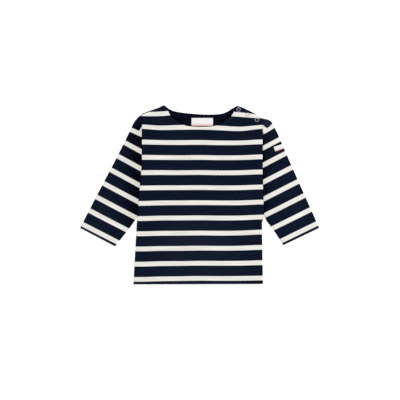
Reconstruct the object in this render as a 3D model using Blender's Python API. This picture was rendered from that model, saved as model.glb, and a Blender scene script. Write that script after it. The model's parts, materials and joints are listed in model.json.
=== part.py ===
"""Breton shirt for a toddler, laid flat on its back: neck towards +Y, wearer's left towards +X."""

import bisect
import math
from collections import namedtuple

import bmesh
import bpy
from mathutils import Matrix, Vector

MM = 0.001

# Cloth wall and the way that layers lie on each other, in millimetres
CLOTH = 1.0
SEAM_GAP = 0.3
HALF = CLOTH / 2
LAYER = CLOTH + SEAM_GAP
GROUND = HALF

# Turned hems
FOLD = LAYER / 2
FOLD_STEPS = 4
HEM_DEPTH = 18.0
CUFF_DEPTH = 15.0
HEM_AIR = 0.9

# Heights of the upper layer's middle
HEM_TOP = GROUND + 2 * LAYER + CLOTH + HEM_AIR
FLAT_TOP = GROUND + LAYER + 0.15
SIDE_TOP = 3.7
ARMHOLE_TOP = 4.1
SHOULDER_TOP = 3.6
NECK_TOP = 3.2
SLEEVE_TOP = 3.3
SLEEVE_PUFF = 1.3

# How far each raised edge stays level, and over what length it then falls softly
LEVEL = 5.0
FALL = 34.0
HEM_FALL = 34.0
CUFF_FALL = 26.0
NECK_FALL = 30.0
PLACKET_FALL = 28.0
ARMPIT_RUN = 40.0
SEAM_RUN = 13.0

# Curled edges at the side seams and at the sewn shoulder
ROLL_STEPS = 3
LIP = 0.2
SIDE_UNCURL = 26.0
TOP_UNCURL = 8.5
NECK_LEAD = 3.0
ARMPIT_EASE = 1.2
SLEEVE_SETBACK = 0.3

# Cell size of the cloth
ARMPIT_ROW = 0.39
COLUMN_STEP = 11.0
ROW_STEP = 13.0
SLEEVE_COLUMNS = 10
SLEEVE_ROWS = 15
FOLD_ANGLES = (math.radians(60), math.radians(120))

# Neck facing, label and sleeve tab
FACING_DEPTH = 30.0
FACING_RIM = 1.0
FACING_SETBACK = 3.0
FACING_ENDS = (-68.0, 71.5)
TRIM = 1.0
LABEL_LEFT, LABEL_RIGHT = -16.2, 26.7
LABEL_BOTTOM, LABEL_TOP = 136.8, 153.5
TAB_CORNER = Vector((151.0, 83.3))
TAB_TILT = math.radians(19.3)
TAB_HEIGHT = 11.8
TAB_CURL = math.radians(50)
TAB_GAP = 0.5

# Snapped shoulder
SNAP_RADIUS = 4.75
SNAP_THICK = 1.3
RING_WIDTH = 1.5
RING_THICK = 0.9
SNAP_FIRST = Vector((77.8, 168.3))
SNAP_PITCH = Vector((18.2, -10.45))
SNAPS = 3
PLACKET_DEPTH = 21.0
UNDERLAP_DEPTH = 24.0
UNDERLAP_ENDS = (72.3, 124.4)
UNDERLAP_RIM = 0.8
SNAP_BASE = GROUND + LAYER + HALF + SEAM_GAP
PLACKET_TOP = SNAP_BASE + SNAP_THICK + SEAM_GAP + HALF
RING_BASE = PLACKET_TOP + HALF + SEAM_GAP

# Outline of each half: distance out from the middle line, and height up the shirt
Half = namedtuple("Half", "sign hem waist armpit armhole tip shoulder neck head elbow cuff_out cuff_in")

WEARERS_RIGHT = Half(
    sign=-1,
    hem=(131.2, -178.2),
    waist=(125.8, -62.7),
    armpit=(124.1, -45.5),
    armhole=((121.9, -20.9), (117.3, 32.8), (114.8, 60.0), (114.5, 140.0)),
    tip=(113.3, 161.3),
    shoulder=((95.6, 167.7), (80.7, 172.9)),
    neck=(70.9, 178.0),
    head=((119.7, 155.3), (126.0, 149.0), (131.3, 141.2)),
    elbow=(142.7, 119.3),
    cuff_out=(237.7, -65.4),
    cuff_in=(168.0, -102.2),
)
WEARERS_LEFT = Half(
    sign=1,
    hem=(126.2, -177.4),
    waist=(124.9, -62.7),
    armpit=(128.6, -44.8),
    armhole=((127.2, -15.0), (125.3, 46.7), (125.5, 120.0)),
    tip=(125.2, 153.6),
    shoulder=((101.3, 165.4), (85.0, 173.3)),
    neck=(74.4, 176.6),
    head=((131.1, 150.6), (138.2, 147.3), (143.8, 142.2)),
    elbow=(156.2, 119.3),
    cuff_out=(237.7, -65.4),
    cuff_in=(166.1, -99.8),
)
HALVES = (WEARERS_RIGHT, WEARERS_LEFT)

# Necklines between the two neck points
BACK_NECK = ((-65.8, 174.2), (-57.0, 168.4), (-47.9, 165.1), (-24.0, 161.4), (11.8, 158.4), (41.0, 159.6),
             (56.0, 164.9), (65.5, 171.1))
FRONT_NECK = ((-62.2, 168.1), (-57.4, 158.1), (-46.3, 146.8), (-31.0, 138.6), (-12.0, 135.1), (15.0, 135.0),
              (33.0, 137.6), (49.8, 146.4), (62.5, 156.0), (68.1, 165.1))
NECK_KEYS = (-65.0, -57.4, -31.0, 0.0, 31.0, 56.0, 68.1)

# Largest soft folds of the upper layer
Crease = namedtuple("Crease", "x0 y0 x1 y1 width rise")
FRONT_CREASES = (
    Crease(-108.0, 34.0, -38.0, -4.0, 17.0, 1.1),
    Crease(118.0, 20.0, 52.0, -26.0, 18.0, 1.0),
    Crease(-70.0, -92.0, 38.0, -108.0, 21.0, 0.8),
    Crease(-22.0, 78.0, 66.0, 66.0, 20.0, 0.7),
    Crease(60.0, -70.0, 104.0, -128.0, 18.0, 0.9),
)
SLEEVE_CREASES = (
    Crease(-134.0, -30.0, -168.0, 28.0, 14.0, 0.8),
    Crease(-158.0, -62.0, -196.0, -22.0, 13.0, 0.6),
    Crease(-126.0, 62.0, -150.0, 88.0, 14.0, 0.8),
    Crease(138.0, -26.0, 170.0, 22.0, 14.0, 0.7),
    Crease(162.0, -58.0, 200.0, -30.0, 13.0, 0.6),
    Crease(134.0, 70.0, 150.0, 40.0, 14.0, 0.7),
)

Finish = namedtuple("Finish", "colour roughness metallic")
JERSEY = Finish((0.0075, 0.0105, 0.0230), 0.85, 0.0)
FACING = Finish((0.0040, 0.0060, 0.0180), 0.85, 0.0)
WOVEN = Finish((0.80, 0.79, 0.78), 0.7, 0.0)
METAL = Finish((0.62, 0.62, 0.64), 0.3, 1.0)


class Track:
    """A line of straight pieces through plan points, read by its share of length or by height."""

    def __init__(self, points):
        self.points = [Vector(p) for p in points]
        self.marks = [0.0]
        for a, b in zip(self.points, self.points[1:]):
            self.marks.append(self.marks[-1] + (b - a).length)
        self.length = self.marks[-1]

    def between(self, i, share):
        return self.points[i - 1].lerp(self.points[i], share)

    def at(self, distance):
        i = min(max(bisect.bisect_right(self.marks, distance), 1), len(self.points) - 1)
        return self.between(i, (distance - self.marks[i - 1]) / (self.marks[i] - self.marks[i - 1]))

    def crossing(self, value, axis):
        """The point where the line, which runs one way along an axis, has this value on it."""
        values = [p[axis] for p in self.points]
        i = 1
        while i < len(values) - 1 and values[i] < value:
            i += 1
        return self.between(i, (value - values[i - 1]) / (values[i] - values[i - 1]))

    def gap(self, point):
        """Distance from a plan point to the line."""
        best = math.inf
        for a, b in zip(self.points, self.points[1:]):
            run = b - a
            share = min(max((point - a).dot(run) / run.length_squared, 0.0), 1.0)
            best = min(best, (point - a - run * share).length)
        return best


def smooth(points, steps=4):
    """More points on the smooth curve through the given ones."""
    points = [Vector(p) for p in points]
    padded = [2 * points[0] - points[1], *points, 2 * points[-1] - points[-2]]
    line = []
    for a, b, c, d in zip(padded, padded[1:], padded[2:], padded[3:]):
        for k in range(steps):
            t = k / steps
            bend = 2 * a - 5 * b + 4 * c - d
            twist = 3 * b - a - 3 * c + d
            line.append((2 * b + (c - a) * t + bend * t**2 + twist * t**3) / 2)
    return [*line, points[-1]]


def mirrored(half, *points):
    """Plan points of a half, from its distances out from the middle line."""
    return [Vector((half.sign * out, up)) for out, up in points]


def side_line(half):
    return Track(mirrored(half, half.hem, half.waist, half.armpit, *half.armhole, half.tip))


def underarm_line(half):
    return Track(mirrored(half, half.armpit, half.cuff_in))


def outer_line(half):
    head = smooth(mirrored(half, half.tip, *half.head, half.elbow), steps=3)
    return Track([*head, *mirrored(half, half.cuff_out)])


def top_line(neckline):
    """Shoulder, neckline and shoulder, from the wearer's right to the wearer's left."""
    right = mirrored(WEARERS_RIGHT, WEARERS_RIGHT.tip, *WEARERS_RIGHT.shoulder)
    left = mirrored(WEARERS_LEFT, *reversed(WEARERS_LEFT.shoulder), WEARERS_LEFT.tip)
    points = mirrored(WEARERS_RIGHT, WEARERS_RIGHT.neck) + list(neckline)
    neck = smooth(points + mirrored(WEARERS_LEFT, WEARERS_LEFT.neck))
    return Track([*right, *neck, *left])


SIDES = [side_line(half) for half in HALVES]
OUTER = [outer_line(half) for half in HALVES]
UNDERARM = [underarm_line(half) for half in HALVES]
HEM = Track([mirrored(half, half.hem)[0] for half in HALVES])
BACK_TOP = top_line(BACK_NECK)
FRONT_TOP = top_line(FRONT_NECK)
NECK_POINTS = [half.sign * half.neck[0] for half in HALVES]


def ease(distance, flat, fade):
    """One up to a distance, then falling softly to nothing."""
    t = min(max((distance - flat) / fade, 0.0), 1.0)
    return 1 - t * t * (3 - 2 * t)


def crease_rise(creases, point):
    """Rise of the soft folds at a plan point."""
    total = 0.0
    for c in creases:
        start = Vector((c.x0, c.y0))
        run = Vector((c.x1, c.y1)) - start
        share = (point - start).dot(run) / run.length_squared
        away = (point - start - run * share).length / c.width
        past = max(-share, share - 1, 0.0) * run.length / c.width
        total += c.rise * math.exp(-away * away - past * past)
    return total


def front_height(point):
    """Height of the front's middle: raised over the hem, the edges, the facing and the snaps."""
    x, y = point
    half = HALVES[x > 0]
    side = SIDES[x > 0]
    from_side = abs(side.crossing(y, 1).x - x)
    above_armpit = ease(half.armpit[1] + ARMPIT_RUN - y, 0, ARMPIT_RUN)
    edge_top = SIDE_TOP + (ARMHOLE_TOP - SIDE_TOP) * above_armpit
    below_top = FRONT_TOP.crossing(x, 0).y - y
    below_facing = BACK_TOP.crossing(x, 0).y - FACING_DEPTH - y
    right_neck, left_neck = NECK_POINTS
    lifts = (
        (HEM_TOP, ease(y - HEM.crossing(x, 0).y, HEM_DEPTH + LEVEL, HEM_FALL)),
        (edge_top, ease(from_side, LEVEL, FALL)),
        (SHOULDER_TOP, ease(below_top, LEVEL, FALL) * ease(x - right_neck, 0, SEAM_RUN)),
        (NECK_TOP, ease(below_facing, LEVEL, NECK_FALL) * ease(abs(x), left_neck + LEVEL, SEAM_RUN)),
        (PLACKET_TOP, ease(below_top, PLACKET_DEPTH, PLACKET_FALL) * ease(left_neck - x, LEVEL, SEAM_RUN)),
    )
    raised = max((top - FLAT_TOP) * share for top, share in lifts)
    return FLAT_TOP + raised + crease_rise(FRONT_CREASES, point) * ease(raised, HALF, CLOTH)


def sleeve_height(side, point):
    """Height of a sleeve's upper layer: low along its folds, soft in the middle, raised at the cuff."""
    half = HALVES[side]
    cuff = Track(mirrored(half, half.cuff_out, half.cuff_in))
    at_cuff = ease(cuff.gap(point), CUFF_DEPTH + LEVEL, CUFF_FALL)
    edge = min(OUTER[side].gap(point), UNDERARM[side].gap(point))
    inside = 1 - ease(edge, HALF, FALL)
    off_seam = 1 - ease(SIDES[side].gap(point), HALF, FALL)
    soft = SLEEVE_PUFF * inside + crease_rise(SLEEVE_CREASES, point)
    raised = SLEEVE_TOP + soft * inside * off_seam * (1 - at_cuff)
    return raised + (HEM_TOP - SLEEVE_TOP) * at_cuff


def roll_radius(top):
    """Radius that lets the upper and lower layers curl towards each other and end a seam's gap apart."""
    return (top - GROUND - SEAM_GAP) / 2 - LIP


def roll(step, turn, radius):
    """Reach, drop and slope at a step of an edge that curls by a share of a right angle."""
    part = min(step, ROLL_STEPS) / ROLL_STEPS
    slope = turn * part * math.pi / 2
    if turn > 0.0:
        reach = radius / turn * math.sin(slope)
        drop = radius / turn * (1 - math.cos(slope))
    else:
        reach, drop = radius * part * math.pi / 2, 0.0
    if step > ROLL_STEPS:
        reach += LIP * math.cos(slope)
        drop += LIP * math.sin(slope)
    return reach, drop, slope


def side_turn(side, y):
    """How far the side edges curl at a height: fully at the side seam, not at all on the armhole."""
    return ease(y - HALVES[side].armpit[1], HALF, SIDE_UNCURL)


def top_turn(x):
    """How far the top edges curl: fully along the sewn shoulder, less from just before its neck point."""
    return ease(x - NECK_POINTS[0], -NECK_LEAD, TOP_UNCURL)


def divided(keys, step):
    """The keys with equal stations between them, no more than a step apart."""
    stations = [keys[0]]
    for a, b in zip(keys, keys[1:]):
        cells = max(1, math.ceil(abs(b - a) / step))
        stations += [a + (b - a) * k / cells for k in range(1, cells + 1)]
    return stations


class Panel:
    """Front or back: a sheet of columns and rows with curled sides and a hem turned up inside."""

    def __init__(self, is_front):
        self.is_front = is_front
        self.inward = -1 if is_front else 1
        self.top = FRONT_TOP if is_front else BACK_TOP
        self.ends = [self.side_inset(side, SIDES[side].points[-1].y) for side in (0, 1)]
        self.x_ends = [HALVES[s].sign * (HALVES[s].tip[0] - self.ends[s]) for s in (0, 1)]
        keys = [self.x_ends[0], NECK_POINTS[0], *NECK_KEYS, NECK_POINTS[1], self.x_ends[1]]
        span = self.x_ends[1] - self.x_ends[0]
        self.shares = [(x - self.x_ends[0]) / span for x in divided(keys, COLUMN_STEP)]
        curls = range(1, ROLL_STEPS + 2)
        self.columns = [(0.0, -k) for k in reversed(curls)]
        self.columns += [(share, 0) for share in self.shares]
        self.columns += [(1.0, k) for k in curls]
        self.armpit_row = ARMPIT_ROW
        hem_row = self.armpit_row * HEM_DEPTH / (HALVES[0].armpit[1] - HALVES[0].hem[1])
        length = (HALVES[0].tip[1] - HALVES[0].hem[1])
        keys = [hem_row, self.armpit_row, self.armpit_row + SIDE_UNCURL / length, 1.0]
        self.levels = [0.0, hem_row / 2, *divided(keys, ROW_STEP / length)]
        self.rows = [("turned", level) for level in (hem_row, hem_row / 2, 0.0)]
        self.rows += [("fold", math.pi * k / FOLD_STEPS) for k in reversed(range(1, FOLD_STEPS))]
        self.rows += [("cloth", level) for level in self.levels]
        self.rows += [("top", k) for k in curls]

    def edge_radius(self, point):
        return roll_radius(front_height(point))

    def side_inset(self, side, y):
        """Distance from the outline in to where the curl begins."""
        turn = side_turn(side, y)
        outline = SIDES[side].crossing(y, 1)
        reach = roll(ROLL_STEPS + 1, turn, self.edge_radius(outline))[0]
        seam = SEAM_GAP / 2 if y >= HALVES[side].armpit[1] else 0.0
        return reach + HALF * math.sin(turn * math.pi / 2) + seam

    def top_inset(self, x):
        turn = top_turn(x)
        outline = FRONT_TOP.crossing(x, 0)
        return roll(ROLL_STEPS + 1, turn, self.edge_radius(outline))[0] + HALF * math.sin(turn * math.pi / 2)

    def side_share(self, side, level):
        """Share of the way up a side at a level, with the armpit always on its own row."""
        x = self.x_ends[side]
        low = HEM.crossing(x, 0).y + FOLD + HALF
        high = self.top.crossing(x, 0).y - self.top_inset(x)
        armpit = (HALVES[side].armpit[1] - low) / (high - low)
        if level <= self.armpit_row:
            return armpit * level / self.armpit_row
        return armpit + (1 - armpit) * (level - self.armpit_row) / (1 - self.armpit_row)

    def flat(self, share, level):
        """Plan point where neither side nor top has begun to curl."""
        x_top = self.x_ends[0] + (self.x_ends[1] - self.x_ends[0]) * share
        low = HEM.crossing(x_top, 0).y + FOLD + HALF
        high = self.top.crossing(x_top, 0).y - self.top_inset(x_top)
        up = [self.side_share(side, level) for side in (0, 1)]
        y = low + (high - low) * (up[0] + (up[1] - up[0]) * share)
        edges = []
        for side in (0, 1):
            x_side = self.x_ends[side]
            low = HEM.crossing(x_side, 0).y + FOLD + HALF
            high = self.top.crossing(x_side, 0).y - self.top_inset(x_side)
            y_side = low + (high - low) * up[side]
            inset = self.side_inset(side, y_side)
            edges.append(SIDES[side].crossing(y_side, 1).x - HALVES[side].sign * inset)
        return Vector((edges[0] + (edges[1] - edges[0]) * share, y))

    def place(self, column, row):
        """Middle of the cloth at a column and a row, in millimetres."""
        share, curl = column
        kind, value = row
        level = {"cloth": value, "turned": value, "fold": 0.0, "top": 1.0}[kind]
        plan = self.flat(share, level)
        height = front_height(plan) if self.is_front else GROUND
        side = 1 if curl > 0 else 0
        reach = drop = slope = 0.0
        if curl:
            reach, drop, slope = roll(abs(curl), side_turn(side, plan.y), self.edge_radius(plan))
        outward = Vector((HALVES[side].sign, 0.0, 0.0))
        up = Vector((0.0, 0.0, self.inward))
        point = Vector((*plan, height)) + outward * reach + up * drop
        inward = up * math.cos(slope) - outward * math.sin(slope)
        if kind == "top":
            rise, sink, _ = roll(value, top_turn(plan.x), self.edge_radius(plan))
            point += Vector((0.0, rise, 0.0)) + up * sink
        if kind == "turned":
            point += inward * LAYER
        if kind == "fold":
            point += inward * FOLD * (1 - math.cos(value)) - Vector((0.0, FOLD * math.sin(value), 0.0))
        return point


class Sleeve:
    """A flattened tube from the armhole to the cuff, its cuff turned up inside."""

    def __init__(self, side):
        self.side = side
        self.half = HALVES[side]
        self.outer = OUTER[side]
        self.underarm = UNDERARM[side]
        stations = [(k / SLEEVE_COLUMNS, 0.0) for k in range(SLEEVE_COLUMNS + 1)]
        under = [(share, math.pi) for share, _ in reversed(stations)]
        folds = [(1.0, angle) for angle in FOLD_ANGLES]
        back_folds = [(0.0, angle) for angle in reversed(FOLD_ANGLES)]
        self.ring = stations + folds + under + back_folds
        body = [k / SLEEVE_ROWS for k in range(SLEEVE_ROWS + 1)]
        self.rows = [("cloth", share, CUFF_DEPTH) for share in body]
        self.rows += [("cloth", 1.0, CUFF_DEPTH / 2), ("cloth", 1.0, 0.0)]
        self.rows += [("fold", 1.0, math.pi * k / FOLD_STEPS) for k in range(1, FOLD_STEPS)]
        self.rows += [("turned", 1.0, depth) for depth in (0.0, CUFF_DEPTH / 2, CUFF_DEPTH)]

    def ends(self, share, left):
        """Outer and underarm points of the outline, with a length left before the cuff."""
        points = []
        for line, start in ((self.outer, 0.0), (self.underarm, ARMPIT_EASE)):
            last = line.length - FOLD - HALF
            points.append(line.at(start + (last - left - start) * share))
        return points

    def place(self, station, row):
        across, angle = station
        kind, share, value = row
        left = value if kind == "cloth" else 0.0
        outer, under = self.ends(share, left)
        chord = (outer - under).normalized()
        edge_top = sleeve_height(self.side, outer)
        radius = (edge_top - GROUND) / 2
        inset = chord * (HALF + radius)
        plan = (outer - inset).lerp(under + inset, across)
        seam = SIDES[self.side].crossing(plan.y, 1).x + self.half.sign * SLEEVE_SETBACK
        straight = Track(mirrored(self.half, self.half.armpit, self.half.tip)).crossing(plan.y, 1).x
        if kind == "cloth" and left == CUFF_DEPTH:
            plan.x += (seam - straight) * (1 - share) ** 2
        reach = chord * radius * math.sin(angle) * (1 if across == 0.0 else -1)
        height = GROUND + radius * (1 + math.cos(angle))
        if angle == 0.0 and 0.0 < across < 1.0:
            height = sleeve_height(self.side, plan)
        point = Vector((*(plan + reach), height))
        if kind == "cloth":
            return point
        outward = Vector((*reach, 0.0)).normalized() * math.sin(angle)
        inward = -outward - Vector((0.0, 0.0, math.cos(angle)))
        down = Vector((chord.y, -chord.x, 0.0)) * self.half.sign
        if kind == "turned":
            return point + inward * LAYER - down * value
        return point + inward * FOLD * (1 - math.cos(value)) + down * FOLD * math.sin(value)


def finish_material(name, finish):
    material = bpy.data.materials.new(name)
    material.use_nodes = True
    shader = material.node_tree.nodes["Principled BSDF"]
    shader.inputs["Base Color"].default_value = (*finish.colour, 1.0)
    shader.inputs["Roughness"].default_value = finish.roughness
    shader.inputs["Metallic"].default_value = finish.metallic
    return material


def add_object(name, bm, finish):
    """One named object from a bmesh in millimetres."""
    bmesh.ops.scale(bm, vec=(MM, MM, MM), verts=bm.verts)
    mesh = bpy.data.meshes.new(name)
    bm.to_mesh(mesh)
    bm.free()
    mesh.materials.append(finish_material(name, finish))
    obj = bpy.data.objects.new(name, mesh)
    bpy.context.scene.collection.objects.link(obj)
    return obj


def add_wall(obj, thickness=CLOTH):
    """Gives a sheet its thickness, half to each side."""
    solidify = obj.modifiers.new("wall", "SOLIDIFY")
    solidify.thickness = thickness * MM
    solidify.offset = 0.0
    solidify.use_even_offset = True
    solidify.use_quality_normals = True
    return obj


def sheet(name, columns, rows, place, finish, thickness=CLOTH):
    """A sheet of cells, each of its points placed by a function of its column and row."""
    bm = bmesh.new()
    across, along = len(columns) - 1, len(rows) - 1
    bmesh.ops.create_grid(bm, x_segments=across, y_segments=along, size=0.5)
    for vert in bm.verts:
        i = round((vert.co.x + 0.5) * across)
        j = round((vert.co.y + 0.5) * along)
        vert.co = place(columns[i], rows[j])
    return add_wall(add_object(name, bm, finish), thickness)


def tube(name, ring, rows, place, finish):
    """An open tube, grown ring by ring."""
    bm = bmesh.new()
    bmesh.ops.create_circle(bm, segments=len(ring), radius=1.0)
    bm.verts.ensure_lookup_table()
    verts, edges = list(bm.verts), list(bm.edges)
    for index, row in enumerate(rows):
        if index:
            grown = bmesh.ops.extrude_edge_only(bm, edges=edges)["geom"]
            edges = [item for item in grown if isinstance(item, bmesh.types.BMEdge)]
            follow = {}
            for vert in verts:
                for edge in vert.link_edges:
                    other = edge.other_vert(vert)
                    if other in grown:
                        follow[vert] = other
            verts = [follow[vert] for vert in verts]
            ring_verts = set(verts)
            edges = [edge for edge in edges if ring_verts.issuperset(edge.verts)]
        for vert, station in zip(verts, ring):
            vert.co = place(station, row)
    bmesh.ops.recalc_face_normals(bm, faces=bm.faces)
    return add_wall(add_object(name, bm, finish))


def neck_facing():
    """Plain crescent on the inside of the back, from just under the back neckline."""
    columns = divided([FACING_ENDS[0], *NECK_KEYS[1:-1], FACING_ENDS[1]], COLUMN_STEP)

    def place(x, depth):
        rim = FACING_RIM + FACING_SETBACK * ease(x - NECK_POINTS[0], TOP_UNCURL, SEAM_RUN)
        y = BACK_TOP.crossing(x, 0).y - rim - (FACING_DEPTH - rim) * depth
        return Vector((x, y, GROUND + LAYER))

    return sheet("neck_facing", columns, (0.0, 0.5, 1.0), place, FACING)


def neck_label():
    """Woven label on the facing."""
    height = GROUND + LAYER + HALF + SEAM_GAP + TRIM / 2

    def place(x, y):
        return Vector((x, y, height))

    return sheet("neck_label", (LABEL_LEFT, LABEL_RIGHT), (LABEL_BOTTOM, LABEL_TOP), place, WOVEN, TRIM)


def shoulder_underlap():
    """Strip of the back that lies under the snapped shoulder."""
    columns = divided(UNDERLAP_ENDS, COLUMN_STEP)

    def place(x, depth):
        y = BACK_TOP.crossing(x, 0).y - UNDERLAP_RIM - (UNDERLAP_DEPTH - UNDERLAP_RIM) * depth
        return Vector((x, y, GROUND + LAYER))

    return sheet("shoulder_underlap", columns, (0.0, 1.0), place, JERSEY)


def sleeve_tab():
    """Small woven tab on the wearer's left sleeve, curled over the sleeve's outer fold."""
    side = 1
    lift = HALF + TAB_GAP + TRIM / 2
    along = Vector((math.cos(TAB_TILT), math.sin(TAB_TILT)))
    up = Vector((-along.y, along.x))
    edge = mirrored(HALVES[side], HALVES[side].elbow, HALVES[side].cuff_out)
    run = (edge[1] - edge[0]).normalized()
    out = Vector((-run.y, run.x))
    radius = (SLEEVE_TOP - GROUND) / 2

    def place(column, row):
        start = TAB_CORNER + up * row
        reach = ((edge[0] - start).dot(out) - HALF - radius) / along.dot(out)
        if column <= 1.0:
            plan = start + along * reach * column
            return Vector((*plan, sleeve_height(side, plan) + lift))
        angle = (column - 1.0) * TAB_CURL
        curl = radius + lift
        plan = start + along * reach + out * curl * math.sin(angle)
        return Vector((*plan, GROUND + radius + curl * math.cos(angle)))

    columns = (0.0, 0.33, 0.66, 1.0, 1.5, 2.0)
    return sheet("sleeve_tab", columns, (0.0, TAB_HEIGHT / 2, TAB_HEIGHT), place, WOVEN, TRIM)


def snap_ring(number, centre):
    """Open ring that shows on the snapped shoulder."""
    bm = bmesh.new()
    profile = bmesh.ops.create_circle(bm, segments=8, radius=0.5)["verts"]
    bmesh.ops.scale(bm, vec=(RING_WIDTH, RING_THICK, 1.0), verts=profile)
    bmesh.ops.rotate(bm, matrix=Matrix.Rotation(math.pi / 2, 3, "X"), cent=(0, 0, 0), verts=profile)
    middle = Vector((SNAP_RADIUS - RING_WIDTH / 2, 0.0, RING_BASE + RING_THICK / 2))
    bmesh.ops.translate(bm, vec=middle, verts=profile)
    bmesh.ops.spin(bm, geom=list(bm.edges) + list(bm.verts), cent=(0, 0, 0), axis=(0, 0, 1),
                   angle=math.tau, steps=20, use_merge=True, use_duplicate=False)
    bmesh.ops.translate(bm, vec=(*centre, 0.0), verts=bm.verts)
    bmesh.ops.recalc_face_normals(bm, faces=bm.faces)
    return add_object(f"snap_ring_{number}", bm, METAL)


def snap_body(number, centre):
    """Fastened socket and stud between the shoulder's two layers."""
    bm = bmesh.new()
    bmesh.ops.create_cone(bm, cap_ends=True, segments=20, radius1=SNAP_RADIUS, radius2=SNAP_RADIUS,
                          depth=SNAP_THICK)
    bmesh.ops.translate(bm, vec=(*centre, SNAP_BASE + SNAP_THICK / 2), verts=bm.verts)
    return add_object(f"snap_body_{number}", bm, METAL)


def clear_scene():
    for obj in list(bpy.data.objects):
        bpy.data.objects.remove(obj, do_unlink=True)


def main():
    clear_scene()
    for name, is_front in (("front_panel", True), ("back_panel", False)):
        panel = Panel(is_front)
        sheet(name, panel.columns, panel.rows, panel.place, JERSEY)
    for name, side in (("sleeve_right", 0), ("sleeve_left", 1)):
        sleeve = Sleeve(side)
        tube(name, sleeve.ring, sleeve.rows, sleeve.place, JERSEY)
    neck_facing()
    neck_label()
    shoulder_underlap()
    sleeve_tab()
    for number in range(1, SNAPS + 1):
        centre = SNAP_FIRST + SNAP_PITCH * (number - 1)
        snap_ring(number, centre)
        snap_body(number, centre)


main()
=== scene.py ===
"""Looks of a toddler's breton shirt laid flat on its back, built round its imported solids."""

import bisect
import json
import logging
import math
from dataclasses import dataclass, field
from enum import Enum
from functools import cached_property, lru_cache
from typing import Any, Callable, Iterable, Optional, Sequence, Union

import bmesh
import bpy
from mathutils import Matrix, Vector, noise

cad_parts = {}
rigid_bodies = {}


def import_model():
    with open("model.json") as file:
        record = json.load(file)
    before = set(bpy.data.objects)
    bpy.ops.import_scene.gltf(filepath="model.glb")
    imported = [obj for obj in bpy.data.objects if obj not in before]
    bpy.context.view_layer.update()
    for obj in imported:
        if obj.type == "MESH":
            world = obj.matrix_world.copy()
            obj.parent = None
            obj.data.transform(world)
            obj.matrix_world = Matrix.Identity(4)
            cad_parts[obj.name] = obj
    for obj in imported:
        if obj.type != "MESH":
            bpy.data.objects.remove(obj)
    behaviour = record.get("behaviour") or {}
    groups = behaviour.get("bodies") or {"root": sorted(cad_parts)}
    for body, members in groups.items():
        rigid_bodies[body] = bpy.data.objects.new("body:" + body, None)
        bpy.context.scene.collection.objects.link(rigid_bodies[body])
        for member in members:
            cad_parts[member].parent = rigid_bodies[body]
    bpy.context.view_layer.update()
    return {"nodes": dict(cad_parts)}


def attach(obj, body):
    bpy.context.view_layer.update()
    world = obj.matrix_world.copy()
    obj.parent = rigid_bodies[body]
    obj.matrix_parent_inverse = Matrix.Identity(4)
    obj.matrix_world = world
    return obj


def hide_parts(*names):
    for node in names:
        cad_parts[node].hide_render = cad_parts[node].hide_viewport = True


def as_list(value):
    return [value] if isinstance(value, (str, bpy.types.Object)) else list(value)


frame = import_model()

BODY = "root"
MM = 0.001
PATTERN = "cloth"
# Attribute that carries painted light and shade on the cloth's colour
PAINTED_LIGHT = "painted_light"

Plan = tuple[float, float]
Colour = tuple[float, float, float]

log = logging.getLogger("breton_shirt")

# Cloth wall and the way that layers lie on each other, in millimetres
CLOTH = 1.0
HALF = CLOTH / 2
LAYER = CLOTH + 0.3
GROUND = HALF
FOLD = LAYER / 2
SEAM_SLIT = 0.05
SEAM_LAP = 0.6

# Heights of the upper layer's middle
HEM_TOP = GROUND + 2 * LAYER + CLOTH + 0.9
FLAT_TOP = GROUND + LAYER + 0.15
SIDE_TOP = 3.7
ARMHOLE_TOP = 4.1
SHOULDER_TOP = 3.6
NECK_TOP = 3.2
SLEEVE_TOP = 3.3
SLEEVE_PUFF = 1.3
SNAP_BASE = GROUND + LAYER + HALF + 0.3
PLACKET_TOP = SNAP_BASE + 1.3 + 0.3 + HALF
RING_BASE = PLACKET_TOP + HALF + 0.3

# How far each raised edge stays level, and over what length it then falls softly
LEVEL = 5.0
FALL = 34.0
NECK_FALL = 30.0
PLACKET_FALL = 28.0
CUFF_FALL = 26.0
ARMPIT_RUN = 40.0
SEAM_RUN = 13.0
SIDE_UNCURL = 26.0
TOP_UNCURL = 8.5
NECK_LEAD = 3.0

HEM_DEPTH = 18.0
CUFF_DEPTH = 15.0
PLACKET_DEPTH = 21.0
FACING_DEPTH = 30.0


@dataclass(frozen=True)
class HalfOutline:
    """Outline of one half: distance out from the middle line and height up the shirt."""

    sign: int
    hem: Plan
    waist: Plan
    armpit: Plan
    armhole: tuple[Plan, ...]
    tip: Plan
    shoulder: tuple[Plan, ...]
    neck: Plan
    head: tuple[Plan, ...]
    elbow: Plan
    cuff_out: Plan
    cuff_in: Plan
    underarm: Plan

    def mirrored(self, *points: Plan) -> list[Vector]:
        """Plan points of this half."""
        return [Vector((self.sign * out, up)) for out, up in points]


WEARERS_RIGHT = HalfOutline(
    sign=-1,
    hem=(131.7, -178.6),
    waist=(125.2, -62.7),
    armpit=(124.1, -45.5),
    armhole=((121.9, -20.9), (117.3, 32.8), (114.8, 60.0), (114.5, 140.0)),
    tip=(113.3, 161.3),
    shoulder=((95.6, 167.7), (80.7, 172.9)),
    neck=(70.9, 178.0),
    head=((118.9, 155.3), (124.9, 149.0), (130.1, 141.2)),
    elbow=(141.6, 119.3),
    cuff_out=(237.7, -66.2),
    cuff_in=(167.8, -103.1),
    underarm=(134.2, -60.5),
)
WEARERS_LEFT = HalfOutline(
    sign=1,
    hem=(126.2, -177.8),
    waist=(124.2, -55.0),
    armpit=(128.6, -44.8),
    armhole=((127.2, -15.0), (125.3, 46.7), (125.5, 120.0)),
    tip=(125.2, 153.6),
    shoulder=((101.3, 165.4), (85.0, 173.3)),
    neck=(74.4, 176.6),
    head=((131.1, 150.6), (138.2, 147.3), (143.4, 142.2)),
    elbow=(155.5, 119.3),
    cuff_out=(238.2, -66.3),
    cuff_in=(166.6, -100.7),
    underarm=(140.4, -59.2),
)
HALVES = (WEARERS_RIGHT, WEARERS_LEFT)

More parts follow.
